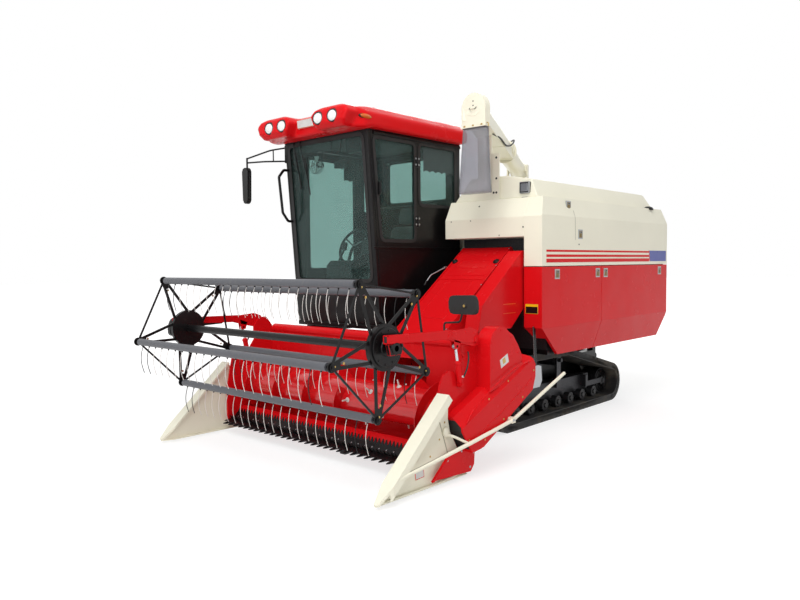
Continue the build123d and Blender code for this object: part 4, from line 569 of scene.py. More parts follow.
def knife():
    """Knife back, pointed guards with their bolts, and the saw-toothed knife sections between them."""
    bar = Piece("knife_and_guards", "header", "black_paint", "bare_steel", "dark_steel")
    ends = HEADER_HALF - 1
    bar.box(-ends, ends, KNIFE_Y - 45, KNIFE_Y - 1, KNIFE_Z - 22, KNIFE_Z - 2, 0, 3)
    places = evenly(int(2 * HEADER_HALF / GUARD_PITCH), GUARD_PITCH)
    guard = ((28, 13, -10, 14), (60, 12, -10, 14), (75, 10, -10, 12), (110, 8, -10.5, 9.5),
             (132, 4, -10.5, 5.5), (140, 1.2, -11.5, 1.5))
    tooth_root, tooth_tip = GUARD_PITCH / 2 - 36, GUARD_PITCH / 2 - 9
    for x in places:
        bar.skin([[(x + wide * c, KNIFE_Y - ahead, KNIFE_Z + middle + half * s) for c, s in arc(10, 10)]
                  for ahead, wide, middle, half in guard])
        bar.bolts([(x, KNIFE_Y - 36, KNIFE_Z + 2)], UP, 6, 1)
        if x < places[-1]:
            bar.plate([(x + tooth_root, KNIFE_Y - 44), (x + GUARD_PITCH - tooth_root, KNIFE_Y - 44),
                       (x + GUARD_PITCH - tooth_tip, KNIFE_Y - 104), (x + tooth_tip, KNIFE_Y - 104)],
                      "z", KNIFE_Z - 6, KNIFE_Z - 2, 2)
    bar.box(-ends, ends, KNIFE_Y - 62, KNIFE_Y - 44, KNIFE_Z - 9, KNIFE_Z - 3, 2, 1)
    bar.done("cutter_bar")


crop_auger()
knife()


# ---- cab
CAB_RIGHT = -1130


def front_y(z, off=0.0):
    """Where the leaning front face of the cab stands at a height."""
    return -932 - 138 * (z - 1000) / 1735 + off


def cab_seals():
    """Rubber frames round the windows, their corners rounded."""
    def pane(piece, axis, at, corners, radius, normal, inward=16, outward=16):
        piece.hoop(round_corners(on_plane(axis, at, corners), radius), normal, inward, outward, 0, 5)

    seals = Piece("window_seals", "root", "rubber_seal")
    screen = [(x, front_y(z), z) for x, z in oblong(-1072, -58, 1400, 2690)]
    seals.hoop(round_corners(screen, 60), (0, -1, -0.08), 18, 16, 0, 4)
    for low, high, rear, sill, top in ((-905, -1000, -445, 1760, 2665), (-385, -385, 165, 2100, 2670)):
        pane(seals, "x", 0, [(low, sill), (rear, sill), (rear, top), (high, top)], 55, LEFT)
    pane(seals, "y", 240, oblong(-974, -156, 2190, 2640), 55, REAR)
    pane(seals, "x", CAB_RIGHT, oblong(-20, 160, 2100, 2640), 40, RIGHT, 12, 14)
    seals.done(slot="cab_plastic")
    door = Piece("door_seal", "cab_door", "rubber_seal")
    pane(door, "x", CAB_RIGHT, oblong(-790, -140, 1500, 2620), 70, RIGHT)
    door.done(slot="cab_plastic")


def cab_fittings():
    """Hinges, handle, wipers, gutters and pressed edges on the outside of the cab."""
    piece = Piece("cab_fittings", "root", "black_paint", "bare_steel", "rubber_seal")
    for z in (2500, 1945):
        piece.box(0, 7, -450, -380, z - 48, z + 48, 0, 2)
        piece.rod((9, -415, z - 52), (9, -415, z + 52), 8, 0, 14)
        piece.bolts([(7, y, z + dz) for y in (-436, -394) for dz in (-28, 28)], LEFT, 6, 1)
    piece.box(0, 26, -948, -930, 2160, 2280, 0, 4)
    piece.rod((26, -939, 2172), (26, -939, 2268), 8, 0, 12)
    for x0, x1, z in ((-985, -925, 2360), (-893, -800, 2300)):
        top = (x0, front_y(2700, -14), 2705)
        piece.tube([top, (x1, front_y(z, -12), z)], 4, 0, 8)
        piece.rod(top, (x0, front_y(2700, 6), 2705), 9, 0, 12)
        low, high = front_y(z - 90, -8), front_y(z + 260, -8)
        piece.slab([(x1 - 6, low, z - 90), (x1 + 4, low, z - 90), (x1 - 36, high, z + 260),
                    (x1 - 46, high, z + 260)], (0, 7, 0), 2, 1)
    piece.plate([(0, 2688), (12, 2688), (12, 2706), (4, 2722), (0, 2722)], "y", -1000, 238, 0, 1)
    piece.box(1, 8, -1010, 236, 1690, 1704, 0, 3)
    piece.box(1, 5, -960, 236, 1020, 1034, 0, 2)
    piece.plate([(front_y(1330, -1), 1330), (front_y(1330, -6), 1335), (front_y(1370, -6), 1365),
                 (front_y(1370, -1), 1370)], "x", -1110, -20, 0, 1)
    piece.done()


def cab_inside():
    """Fan, mirror, sun visor, monitor, wheel, blinds and lining seen through the glass."""
    piece = Piece("cab_inside", "root", "cab_plastic", "bare_steel", "pale_plastic", "cloth_lining")
    fan = Vector((-785, -965, 2500))

    def from_fan(*steps):
        return [fan + Vector(step) for step in steps]

    for radius, depth in ((88, 0), (88, 26), (60, -6), (30, -9)):
        piece.sweep(from_fan(*[(radius * c, 14 - depth, radius * s) for c, s in arc(25, 24)]),
                    [(2.4, 0), (0, 2.4), (-2.4, 0), (0, -2.4)])
    for c, s in arc(18, 18):
        piece.tube(from_fan((88 * c, 14, 88 * s), (24 * c, 24, 24 * s)), 1.6, 0, 5)
    piece.turned(fan + Vector((0, 10, 0)), REAR, [(0, 20), (6, 26), (55, 26), (64, 18)], 0, 20)
    blade = ((18, -8, 0), (78, -30, 10), (78, 22, -10), (18, 8, 0))
    for c, s in arc(4, 4):
        corners = from_fan(*[(out * c - wide * s, y, out * s + wide * c) for out, wide, y in blade])
        piece.slab(corners, (0, 2, 0), 2)
    piece.tube(from_fan((0, 60, 0), (0, 80, 120), (20, 80, 215)), 9, 0, 10, 40)
    piece.tube(from_fan((10, 70, 40), (230, 60, -10), (310, 40, -70)), 6, 0, 8, 60)
    mirror = [(-545, 2440), (-400, 2430), (-395, 2500), (-420, 2520), (-550, 2505)]
    piece.plate(mirror, "y", -960, -935, 0, 8)
    piece.tube([(-480, -945, 2480), (-470, -950, 2600), (-440, -960, 2710)], 7, 0, 8, 40)
    piece.plate([(-1020, 2620), (-560, 2610), (-560, 2715), (-1020, 2715)], "y", -985, -965, 3, 6)
    piece.box(-1094, -36, -1010, 200, 2722, 2733, 3, 3)
    piece.plate([(-380, 2560), (-200, 2560), (-190, 2700), (-390, 2700)], "y", -960, -900, 0, 10)
    piece.box(-1090, -1040, -1000, -860, 2560, 2735, 0, 8)
    piece.tube([(-610, -735, 1560), (-612, -690, 1680), (-615, -650, 1720)], 15, 0, 12, 40)
    wheel = Vector((-615, -655, 1725))
    piece.sweep([wheel + Vector((175 * c, 73.5 * s, 157.5 * s)) for c, s in arc(37, 36)],
                [(13 * c, 13 * s) for c, s in arc(8, 8)])
    for angle in (0.5, 2.6, 4.7):
        spoke = Vector((168 * math.cos(angle), 70 * math.sin(angle), 151 * math.sin(angle)))
        piece.tube([wheel, wheel + spoke], 8, 1, 8)
    piece.plate([(-330, 1640), (-170, 1650), (-165, 1790), (-325, 1780)], "y", -835, -805, 0, 8)
    piece.tube([(-250, -815, 1560), (-250, -812, 1660)], 10, 0, 8)
    piece.box(-900, -250, 60, 190, 2130, 2160, 3, 8)
    hem = [(y, 2420 + 16 * abs(math.sin(math.pi * (y + 300) / 90))) for y in range(-300, 181, 15)]
    for x in (-18, CAB_RIGHT + 14):
        piece.plate([(-300, 2690), *hem, (180, 2690)], "x", x, x + 3, 3)
    piece.done()


def roof_fittings():
    """Oval lamps in the pods, the marker lamp, the roof's knob and the blank plate between the pods."""
    lamps = Piece("roof_lamp_lenses", "root", "lens", "rubber_seal", "chrome")
    lamp_rows = ((1, ((-14, 1.22), (-8, 1.24), (2, 1.16), (4, 1.04), (-6, 0.98))),
                 (2, ((-7, 1.02), (1, 1.0), (2, 0.94), (-3, 0.90))),
                 (0, ((-4, 0.93), (2, 0.91), (7, 0.70), (9, 0.40), (10, 0.05))))
    for x in (-997, -815, -315, -133):
        for finish, rows in lamp_rows:
            lamps.skin([[(x + 56 * size * c, -1357 - out, 2815 + 46 * size * s) for c, s in arc(28, 28)]
                        for out, size in rows], finish)
    lamps.done("roof_lamps", slot="lamp_glass")
    marker = Piece("roof_marker", "root", "amber_lens", "rubber_seal", "red_paint", "pale_plastic")
    middle, along = Vector((64, -1150, 2806)), Vector((0.12, 0.97, -0.08)).normalized()
    out = Vector((1, -0.12, 0.1)).normalized()
    up = out.cross(along).normalized()
    for finish, rows in ((1, ((-26, 1.12), (2, 1.12), (5, 1.0))),
                         (0, ((0, 0.98), (10, 0.94), (20, 0.7), (24, 0.35), (25, 0.03)))):
        marker.skin([[middle + along * (62 * size * c) + up * (20 * size * s) + out * rise
                      for c, s in arc(24, 24)] for rise, size in rows], finish)
    marker.turned((-110, -880, 2915), UP, [(0, 46), (14, 40), (26, 24), (32, 8), (33, 1)], 2, 20)
    marker.slab([(-700, -1262, 2785), (-430, -1262, 2785), (-430, -1270, 2858), (-700, -1270, 2858)],
                (0, 30, 0), 3, 4)
    marker.done(slot="lamp_glass")


cab_seals()
cab_fittings()
cab_inside()
roof_fittings()


# ---- body
BODY_LEFT, SHOULDER_Z, SHOULDER_IN = 1144, 1967, 44


def side_x(z):
    """Outer face of the body's left side at a height."""
    return BODY_LEFT - max(z - SHOULDER_Z, 0) / 168 * SHOULDER_IN


def stripes():
    """Three red stripes that widen downwards, and a blank blue plate behind them."""
    piece = Piece("side_stripes", "root", "red_paint", "blue_plate")
    x0, x1 = BODY_LEFT - 1, BODY_LEFT + 1.2
    for low, high in ((1644, 1663), (1598, 1621), (1550, 1583)):
        piece.plate([(-18, low), (2136, low), (2142 - (low - 1550) * 0.12, high), (-18, high)], "x", x0, x1)
    piece.plate([(2166, 1552), (2600, 1552), (2600, 1668), (2148, 1668)], "x", x0, x1 + 0.4, 1)
    piece.plate([(2150, 1552), (2160, 1552), (2142, 1668), (2132, 1668)], "x", x0, x1 + 0.2)
    piece.done(slot="cream_paint")


def body_fittings():
    """Latches, bolts, seam lines, labels and lamps on the body."""
    piece = Piece("body_fittings", "root", "bare_steel", "black_paint", "seam_shade", "yellow_plate",
                  "grey_lens", "label_orange", "latch_brown")
    for y, z in ((413, 2068), (591, 1810), (168, 1446), (940, 1446), (1106, 1444), (2420, 1448)):
        x = side_x(z)
        piece.box(x - 6, x + 3, y - 42, y + 42, z - 44, z + 44, 0, 2)
        piece.box(x + 2, x + 5, y - 33, y + 33, z - 35, z + 35, 6, 2)
        piece.turned((x + 4, y, z - 12), LEFT, [(0, 14), (5, 13), (7, 8)], 6, 16)
        piece.box(x + 4, x + 9, y - 20, y + 20, z + 12, z + 26, 1, 2)
    piece.bolts([(BODY_LEFT, 565, 1715)], LEFT, 5, 1)
    piece.plate([(498, 1756), (504, 1756), (494, 1962), (488, 1962)], "x", 1142, 1144.8, 2)
    piece.slab([(side_x(z) - 1, y, z) for y, z in ((488, 1962), (494, 1962), (486, 2026), (480, 2026))],
               (2, 0, 0.5), 2)
    for x, z, finish in ((379, 1944, 2), (953, 1866, 1), (150, 1944, 2), (700, 1800, 2)):
        piece.bolts([(x, -92, z)], FRONT, 5, finish)
    piece.bolts([(437, -32, 2078)], (0, -0.89, 0.46), 5, 1)
    piece.boxes(3, 1, (978, 1106, -94, -91, 1101, 1186))
    piece.boxes(1, 0, (983, 1101, -95, -93, 1105, 1163))
    piece.boxes(5, 0, (944, 945.8, -392, -200, 1112, 1118), (944, 945.8, -392, -200, 1190, 1198))
    piece.box(848, 952, 10, 62, 2172, 2276, 1, 8)
    piece.box(863, 937, 5, 12, 2188, 2260, 4, 4)
    for z in range(2186, 2259, 18):
        piece.box(860, 940, 62, 70, z, z + 6, 1, 1)
    piece.plate([(870, 2134), (930, 2134), (915, 2176), (885, 2176)], "y", 30, 36, 1, 1)
    piece.box(870, 930, 14, 60, 2133, 2139, 1, 1)
    piece.turned((1078, 2270, 2124), (0.15, 0, 1), [(0, 52), (16, 50), (30, 36), (36, 12), (37, 1)], 1, 24)
    piece.done(slot="chrome")


stripes()
body_fittings()


# ---- grain unloader
UNLOAD = Vector((-470, 2020, 2690))
HEAD = Vector((642, -400, 2905))
UNLOAD_R = 98
HEAD_WIDTH, HEAD_DEPTH, HEAD_LOW = 256, 72, 2735
COLLAR_AT = 0.36            # share of the way to the head
SLEEVE_LENGTH = 570


def boom():
    """Unloading boom: tube, cap, bolted collar, bevelled front trough, round-topped flat head and hose."""
    piece = Piece("unloader_tube", "unloader_boom", "cream_paint", "brass", "black_paint", "rubber_seal")
    ahead = (HEAD - UNLOAD).normalized()
    side = Vector((-ahead.y, ahead.x, 0)).normalized()
    up = side.cross(ahead)
    up *= math.copysign(1, up.z)
    reach = (HEAD - UNLOAD).length
    near = 1 if side.x > 0 else -1
    half = UNLOAD_R

    def on(share, right=0.0, rise=0.0):
        return UNLOAD + ahead * (reach * share) + side * right + up * rise

    piece.turned(UNLOAD - ahead * 130, ahead, [(0, half + 8), (4, half + 14), (18, half + 14), (22, half),
                                               (130 + reach * COLLAR_AT, half)], 0, 40)
    for start, radius in ((-18, half + 26), (2, half + 30)):
        piece.turned(on(COLLAR_AT) + ahead * start, ahead,
                     [(0, radius - 2), (2, radius), (13, radius), (15, radius - 2)], 0, 40)
    collar_bolts = [on(COLLAR_AT, c * (half + 14), s * (half + 14)) for c, s in arc(10, 10)]
    piece.bolts([at - ahead * 18 for at in collar_bolts], -ahead, 7, 1)
    for way in (-1, 1):
        piece.turned(UNLOAD + side * way * (half - 6), side * way, [(0, 44), (10, 44), (14, 36)], 0, 24)
    section = [(-half, -half), (half, -half), (half + 4, -half + 14), (half, 20), (half * 0.62, half * 0.88),
               (-half * 0.62, half * 0.88), (-half, 20), (-half - 4, -half + 14)]
    piece.skin([[on(share, a, b) for a, b in section] for share in (COLLAR_AT + 0.008, 0.68, 0.985)])
    for share in (0.39, 0.60, 0.955):
        piece.skin([[on(s, a * 1.03, b * 1.03) for a, b in section] for s in (share, share + 0.006)])
    x, y, z = HEAD
    x0, x1 = x - HEAD_WIDTH / 2, x + HEAD_WIDTH / 2
    outline = [(x0, HEAD_LOW + 40), (x0, HEAD_LOW), (x1, HEAD_LOW), (x1, HEAD_LOW + 40)]
    outline += [(x + HEAD_WIDTH / 2 * c, z + HEAD_WIDTH / 2 * s) for c, s in arc(25, 48)]
    piece.plate(outline, "y", y, y + HEAD_DEPTH, 0, 4)
    piece.plate([(x + (a - x) * 0.9, z + (b - z) * 0.9) for a, b in outline], "y", y - 2, y, 0, 1)
    piece.box(x0 - 6, x1 + 6, y - 10, y + HEAD_DEPTH + 8, HEAD_LOW, HEAD_LOW + 9)
    piece.bolts([(x + dx, y - 6, HEAD_LOW + 14) for dx in (-92, 92, 0)], FRONT, 7, 1)
    piece.bolts([(x, y - 2, 2962), (x, y - 2, 2924)], FRONT, 4, 2)
    for size, drop, finish in ((38, 0, 2), (26, 6, 0)):
        piece.tube([(x + size * c, y - (4 if abs(c) > 0.999 else 12), 2906 - drop + size * 0.42 * s)
                    for c, s in arc(9, 16, math.pi)], 2.6, finish, 8)
    piece.tube([(x + 70 * c, y - 2.5, 2872 + 34 * s) for c, s in arc(13, 24, math.pi)], 2.0, 0, 6)
    piece.tube([(x1 + 2, y + 20, HEAD_LOW + 30), (x1 + 20, y + 20, HEAD_LOW + 22),
                (x1 + 20, y + 20, HEAD_LOW - 4)], 4, 1, 8, 8)
    hose = ((0.80, half * 0.8, -half - 2), (0.70, half + 10, -half * 0.8), (0.60, half + 14, -half * 0.9),
            (0.50, half + 14, -half * 0.3), (0.42, half + 16, half * 0.5), (0.37, half + 10, half + 26),
            (0.33, half * 0.5, half + 30))
    piece.tube([on(share, near * right, rise) for share, right, rise in hose], 8, 3, 10, 90)
    piece.rod(on(0.33, near * half * 0.5, half + 34), on(0.33, near * half * 0.4, half - 6), 12, 1, 12)
    for share in (0.40, 0.02):
        foot = on(share, near * (half - 6))
        lug = [foot + up * rise + ahead * along for along, rise in oblong(-30, 30, 34, -40)]
        piece.slab(lug, side * near * 20, 0, 4)
    piece.done("unloader_boom")


def squared(c, s, half_x, half_y, power):
    """Point of an oval drawn out towards its corners; the lower the power, the squarer."""
    return half_x * math.copysign(abs(c) ** power, c), half_y * math.copysign(abs(s) ** power, s)


def chute():
    """Clear limp sleeve that hangs from the head, pleated and a little crushed."""
    piece = Piece("discharge_sleeve", "unloader_boom", "clear_plastic")
    rings, count, rows = [], 72, 20
    for row in range(rows):
        t = row / (rows - 1)
        ring = []
        for index, way in enumerate(arc(count, count)):
            a = 2 * math.pi * index / count
            x, y = squared(*way, 126 + 35 * t, 34 + 18 * t, 0.42 + 0.1 * t)
            pleat = 1 + 0.035 * t * math.sin(9 * a + 2.2 * t) + 0.05 * t * math.sin(5 * a + 5 * t)
            ring.append((HEAD.x - 10 * t + x, HEAD.y + HEAD_DEPTH / 2 + y * pleat,
                         HEAD_LOW - SLEEVE_LENGTH * t))
        rings.append(ring)
    piece.skin(rings, caps=False)
    made = piece.done("discharge_chute", sharp=60)
    modified(made, "wall", "SOLIDIFY", thickness=1.5 * MM, offset=0)


def unloader_fittings():
    """Support post beside the boom and bolts on the turret."""
    piece = Piece("unloader_fittings", "root", "cream_paint", "brass", "black_paint")
    piece.boxes(0, 2, (548, 632, 10, 20, 2136, 2560), (548, 556, 10, 46, 2136, 2560),
                (530, 650, 0, 60, 2134, 2142))
    piece.bolts(on_plane("y", 10, [(600, 2200), (600, 2330), (600, 2520), (570, 2200)]), FRONT, 7, 2)
    flange = [(UNLOAD.x + 116 * c, UNLOAD.y + 116 * s, 2330) for c, s in arc(8, 8, 0.2)]
    piece.bolts(flange, DOWN, 8, 1)
    piece.done()


boom()
chute()
unloader_fittings()


# ---- feeder house
FEEDER_SLOPE = math.radians(36)
FEEDER_TOP = 190            # of the top sheet over the shaft's middle


def feeder_fittings():
    """Raised edges, pressed beads, latches, strut and cable on top of the feeder house."""
    piece = Piece("feeder_fittings", "header", "red_paint", "black_paint", "bare_steel", "rubber_seal")
    c, s = math.cos(FEEDER_SLOPE), math.sin(FEEDER_SLOPE)
    up = Vector((0, -s, c))

    def on(x, along, rise=0.0):
        """Point above the top sheet: millimetres down the slope from above the shaft."""
        rise += FEEDER_TOP
        return x, FEEDER_Y - c * along - s * rise, FEEDER_Z - s * along + c * rise

    for bead in ([(205, -66), (560, -66)], [(300, 20), (300, 140), (640, 140), (640, 20), (300, 20)],
                 [(330, 340), (330, 860), (620, 860), (620, 340), (330, 340)], [(225, 250), (725, 250)]):
        piece.tube([on(x, along) for x, along in bead], 4, 0, 8, 24)
    for x0, x1, start, stop, rise, edge in ((201, 215, -170, 1180, 12, 3), (735, 749, -170, 1180, 12, 3),
                                            (204, 746, 305, 318, 5, 2)):
        piece.slab([on(x, along) for x, along in oblong(x0, x1, start, stop)], up * rise, 0, edge)
    for x, along in ((226, 42), (700, 46)):
        piece.turned(on(x, along), up, [(0, 30), (8, 30), (13, 24), (14, 4)], 1, 24)
        piece.turned(on(x, along, 13), up, [(0, 12), (5, 11), (7, 6)], 3, 12)
    piece.bolts([on(742, along, 12) for along in (-140, 120, 400, 700, 1000)], up, 5, 2)
    piece.tube([on(196, 150, 20), on(150, 330, 60), on(140, 420, 40)], 6, 2, 10, 10)
    piece.rod(on(196, 140, 10), on(190, 175, 30), 11, 2, 12)
    piece.rod(on(140, 400, 46), on(139, 450, 30), 10, 1, 12)
    piece.done()


feeder_fittings()


# ---- reel arms, hubs and cylinders
ARM_X, ARM_HALF = 1282, 20
ARM_PIVOT = (-1280, 996)
CYL_LOW, CYL_TOP = (-1435, 680), (-1495, 962)


def reel_arms():
    """Box beams with a dark sheet in their end at the reel, painted shade that stands for an open end's
    hollow; bolted bearing plates and a gusset over the cylinder.
    """
    arm = Piece("reel_arm_beams", body_of("reel_arms"), "red_paint", "black_paint", "bare_steel",
                "rubber_seal")
    for side in (-1, 1):
        x0, x1 = sorted((side * (ARM_X - ARM_HALF), side * (ARM_X + ARM_HALF)))
        out = x1 if side > 0 else x0
        arm.plate([(-2212, 1040), (-2212, 1096), (-1551, 1080), (-1330, 1062), (-1256, 1040), (-1232, 1000),
                   (-1240, 955), (-1290, 942), (-1440, 975), (-1600, 1022)], "x", x0, x1, 0, 4)
        # Dark rubber sheet inside the red lip: painted shade of the beam's hollow open end.
        arm.box(x0 + 6, x1 - 6, -2216, -2209, 1047, 1089, 3, 1)
        arm.boxes(0, 1, (x0, x0 + 5, -2219, -2209, 1040, 1096), (x1 - 5, x1, -2219, -2209, 1040, 1096),
                  (x0, x1, -2219, -2209, 1040, 1046), (x0, x1, -2219, -2209, 1090, 1096))
        arm.plate([(-2186, 962), (-2078, 962), (-2060, 1036), (-2204, 1036)], "x", x0 + 6, x1 - 6, 1, 3)
        arm.rod((x0, REEL_Y, REEL_Z), (x1, REEL_Y, REEL_Z), 42, 1, 28, 3)
        arm.bolts([(out, REEL_Y + dy, 1022) for dy in (-50, 50)], (side, 0, 0), 8, 1)
        inner, outer = sorted((out - side * 2, out + side * 5))
        arm.plate([(-1602, 1034), (-1588, 1072), (-1340, 1088), (-1262, 1060), (-1240, 1004), (-1262, 968),
                   (-1440, 986)], "x", inner, outer, 0, 2)
        arm.bolts([(out + side * 5, y, z) for y, z in ((-1560, 1052), (-1400, 1058), (-1300, 1044))],
                  (side, 0, 0), 6)
        y, z = CYL_TOP
        ear = [(y - 40, 1040), (y - 24, z - 18), (y + 24, z - 18), (y + 46, 1010)]
        for x in (x0, x1 - 8):
            arm.plate(ear, "x", x, x + 8, 0, 2)
        arm.rod((x0, y, z), (x1, y, z), 10, 2, 16)
        arm.turned((x0, *ARM_PIVOT), LEFT, [(0, 30), (x1 - x0, 30)], 0, 24)
        arm.rod((x0 - 3, *ARM_PIVOT), (x1 + 3, *ARM_PIVOT), 19, 2, 20)
    arm.done("reel_arms")


def reel_hubs():
    """Bolted discs and adjusting links on the outer sides of the reel's hubs."""
    hub = Piece("reel_hub_plates", body_of("reel_frame"), "black_paint", "brass")
    for side in (-1, 1):
        face = side * (SPIDER_X + 22)
        profile = [(0, 132), (8, 132), (11, 128), (11, 60), (18, 56), (18, 26)]
        hub.turned((face - side * 6, REEL_Y, REEL_Z), (side, 0, 0), profile, 0, 48)
        ring = arc(10, 10, math.radians(9))
        hub.bolts([(face + side * 4, REEL_Y + 112 * c, REEL_Z + 112 * s) for c, s in ring], (side, 0, 0), 7)
        for index in range(REEL_BARS):
            y, z = bar_place(index)
            hub.bolts([(side * (SPIDER_X + 10), REEL_Y + (y - REEL_Y) * share, REEL_Z + (z - REEL_Z) * share)
                       for share in (0.80, 0.96)], (side, 0, 0), 6, 1)
    hub.done()
    drive = Piece("reel_drive_cover", body_of("reel_arms"), "black_paint", "rubber_seal", "bare_steel")
    x = -(ARM_X + ARM_HALF)
    case = on_plane("x", x, [(-2250, 930), (-2010, 930), (-1960, 1080), (-2220, 1100)])
    drive.slab(round_corners(case, 60), (-46, 0, 0), 0, 8)
    drive.plate([(-2010, 1000), (-1700, 1010), (-1700, 1040), (-2010, 1050)], "x", x - 30, x, 1, 4)
    drive.bolts([(x - 46, y, z) for y, z in ((-2200, 960), (-2040, 960), (-2010, 1050), (-2190, 1070))],
                RIGHT, 7, 2)
    drive.done()
    for index in range(REEL_BARS):
        y, z = bar_place(index)
        cap = Piece(f"bar_cap_{index + 1}", body_of(f"tine_bar_{index + 1}"), "black_paint")
        for side in (-1, 1):
            profile = [(0, 24), (3, 24), (3, 12), (8, 12)]
            cap.turned((side * (SPIDER_X + 11), y, z), (side, 0, 0), profile, 0, 20)
        cap.done()


def reel_cylinders():
    """Barrels with a collar, a port and a short hose, and bright rods up to the arms' pins."""
    barrel = Piece("reel_barrel_covers", body_of("reel_barrels"), "red_paint", "rubber_seal", "pale_plastic")
    shank = Piece("reel_rod_shanks", body_of("reel_rods"), "chrome", "bare_steel")
    for side in (-1, 1):
        low, top = Vector((side * ARM_X, *CYL_LOW)), Vector((side * ARM_X, *CYL_TOP))
        way = top - low
        barrel.turned((side * ARM_X - 16, *CYL_LOW), LEFT, [(0, 22), (32, 22)], 0, 24)
        profile = [(8, 14), (20, 24), (150, 24), (152, 27), (170, 27), (172, 22), (180, 14)]
        barrel.turned(low, way, profile, 0, 28)
        port = low + way.normalized() * 60
        hose = [port + Vector((side * x, y, z))
                for x, y, z in ((34, 6, 0), (48, 30, 60), (40, 60, 130), (10, 90, 170))]
        barrel.rod(port, hose[0], 8, 2, 14, 2)
        barrel.tube(hose, 6, 1, 10, 30)
        shank.turned(low + way.normalized() * 80, way, [(0, 9), (100, 10.5), (way.length - 104, 10.5)], 0, 24)
        shank.turned((side * ARM_X - 11, *CYL_TOP), LEFT, [(0, 24), (22, 24)], 1, 24)
    barrel.done("reel_barrels")
    shank.done("reel_rods")


reel_arms()
reel_hubs()
reel_cylinders()
for name in ("lift_barrel", "lift_rod"):
    rounded(name, 2)


# ---- header details
GUARD_FACE = 1400
DIVIDER_WEB = 1297.3


def knife_teeth():
    """Dark strip along the floor's front edge, with teeth that stand up between the guards."""
    strip = Piece("knife_strip", "header", "black_paint", "bare_steel", "dark_steel")

    def across(x, first, second):
        """Flat outline between two lines along X: half its length, its place from the knife, its height."""
        line = [(x + way * half, KNIFE_Y + dy, z) for half, dy, z in (first, second) for way in (-1, 1)]
        return [line[0], line[1], line[3], line[2]]

    ends = HEADER_HALF - 2
    strip.slab(across(0, (ends, 62, 165), (ends, 0, 115)), (0, 0, 5), 0, 1)
    strip.slab(across(0, (ends, 4, 118), (ends, -84, 108)), (0, 0, 6), 0, 1)
    pitch = GUARD_PITCH / 2
    for index, x in enumerate(evenly(int(2 * ends / pitch), pitch)):
        odd = index % 2
        strip.slab(across(x, (18, 58, 166), (3, 72, 208)), (0, 6, 1))
        strip.slab(across(x, (15, -14, 118), (3, -46, 158)), (0, 6, 2), 2 if odd else 0)
        if odd:
            strip.bolts([(x, KNIFE_Y + 30, 142)], (0, -0.6, 1), 5, 1)
    strip.box(300, 360, KNIFE_Y - 60, KNIFE_Y - 10, 62, 90, 0, 3)
    strip.done()


def divider_details():
    """Seams, bolts, label plates and skid edges of the two dividers and the long guide bar."""
    piece = Piece("divider_details", "header", "cream_paint", "brass", "red_paint", "pale_plastic",
                  "bare_steel", "seam_shade")
    for side in (-1, 1):
        web = side * DIVIDER_WEB
        for outline, start, stop, finish, edge in (
                ([(-2215, 116), (-1720, 590), (-1712, 580), (-2205, 108)], 0, 2, 5, 0),
                ([(-1708, 470), (-1700, 470), (-1560, 90), (-1568, 90)], 0, 2, 5, 0),
                ([(-1958, 100), (-1866, 106), (-1874, 176), (-1966, 170)], 0, 3, 2, 1),
                ([(-1952, 106), (-1872, 111), (-1880, 170), (-1960, 165)], 2, 4, 3, 1)):
            piece.plate(outline, "x", *sorted((web + side * start, web + side * stop)), finish, edge)
        spots = [(-1690, 520), (-1640, 440), (-1700, 330), (-1800, 230), (-1900, 150), (-1640, 130)]
        piece.bolts(on_plane("x", web, spots), (side, 0, 0), 5, 1)
        runner = ((8, -2285, 30), (14, -1800, 30), (16, -1560, 40), (22, -1440, 70), (26, -1375, 120))
        piece.tube([(web + side * off, y, z) for off, y, z in runner], 9, 0, 10, 60)
        cap = [(0, 34), (10, 34), (14, 28), (20, 12)]
        piece.turned((web + side * 4, -1637, 372), (side, 0, 0), cap, 0, 24)
    piece.tube([(1300, -1630, 354), (1350, -1592, 336), (1408, -1512, 284)], 10, 0, 12, 30)
    piece.box(1376, 1440, -1002, -958, 340, 384, 0, 3)
    piece.bolts([(1440, y, 362) for y in (-990, -970)], LEFT, 6, 4)
    piece.done()


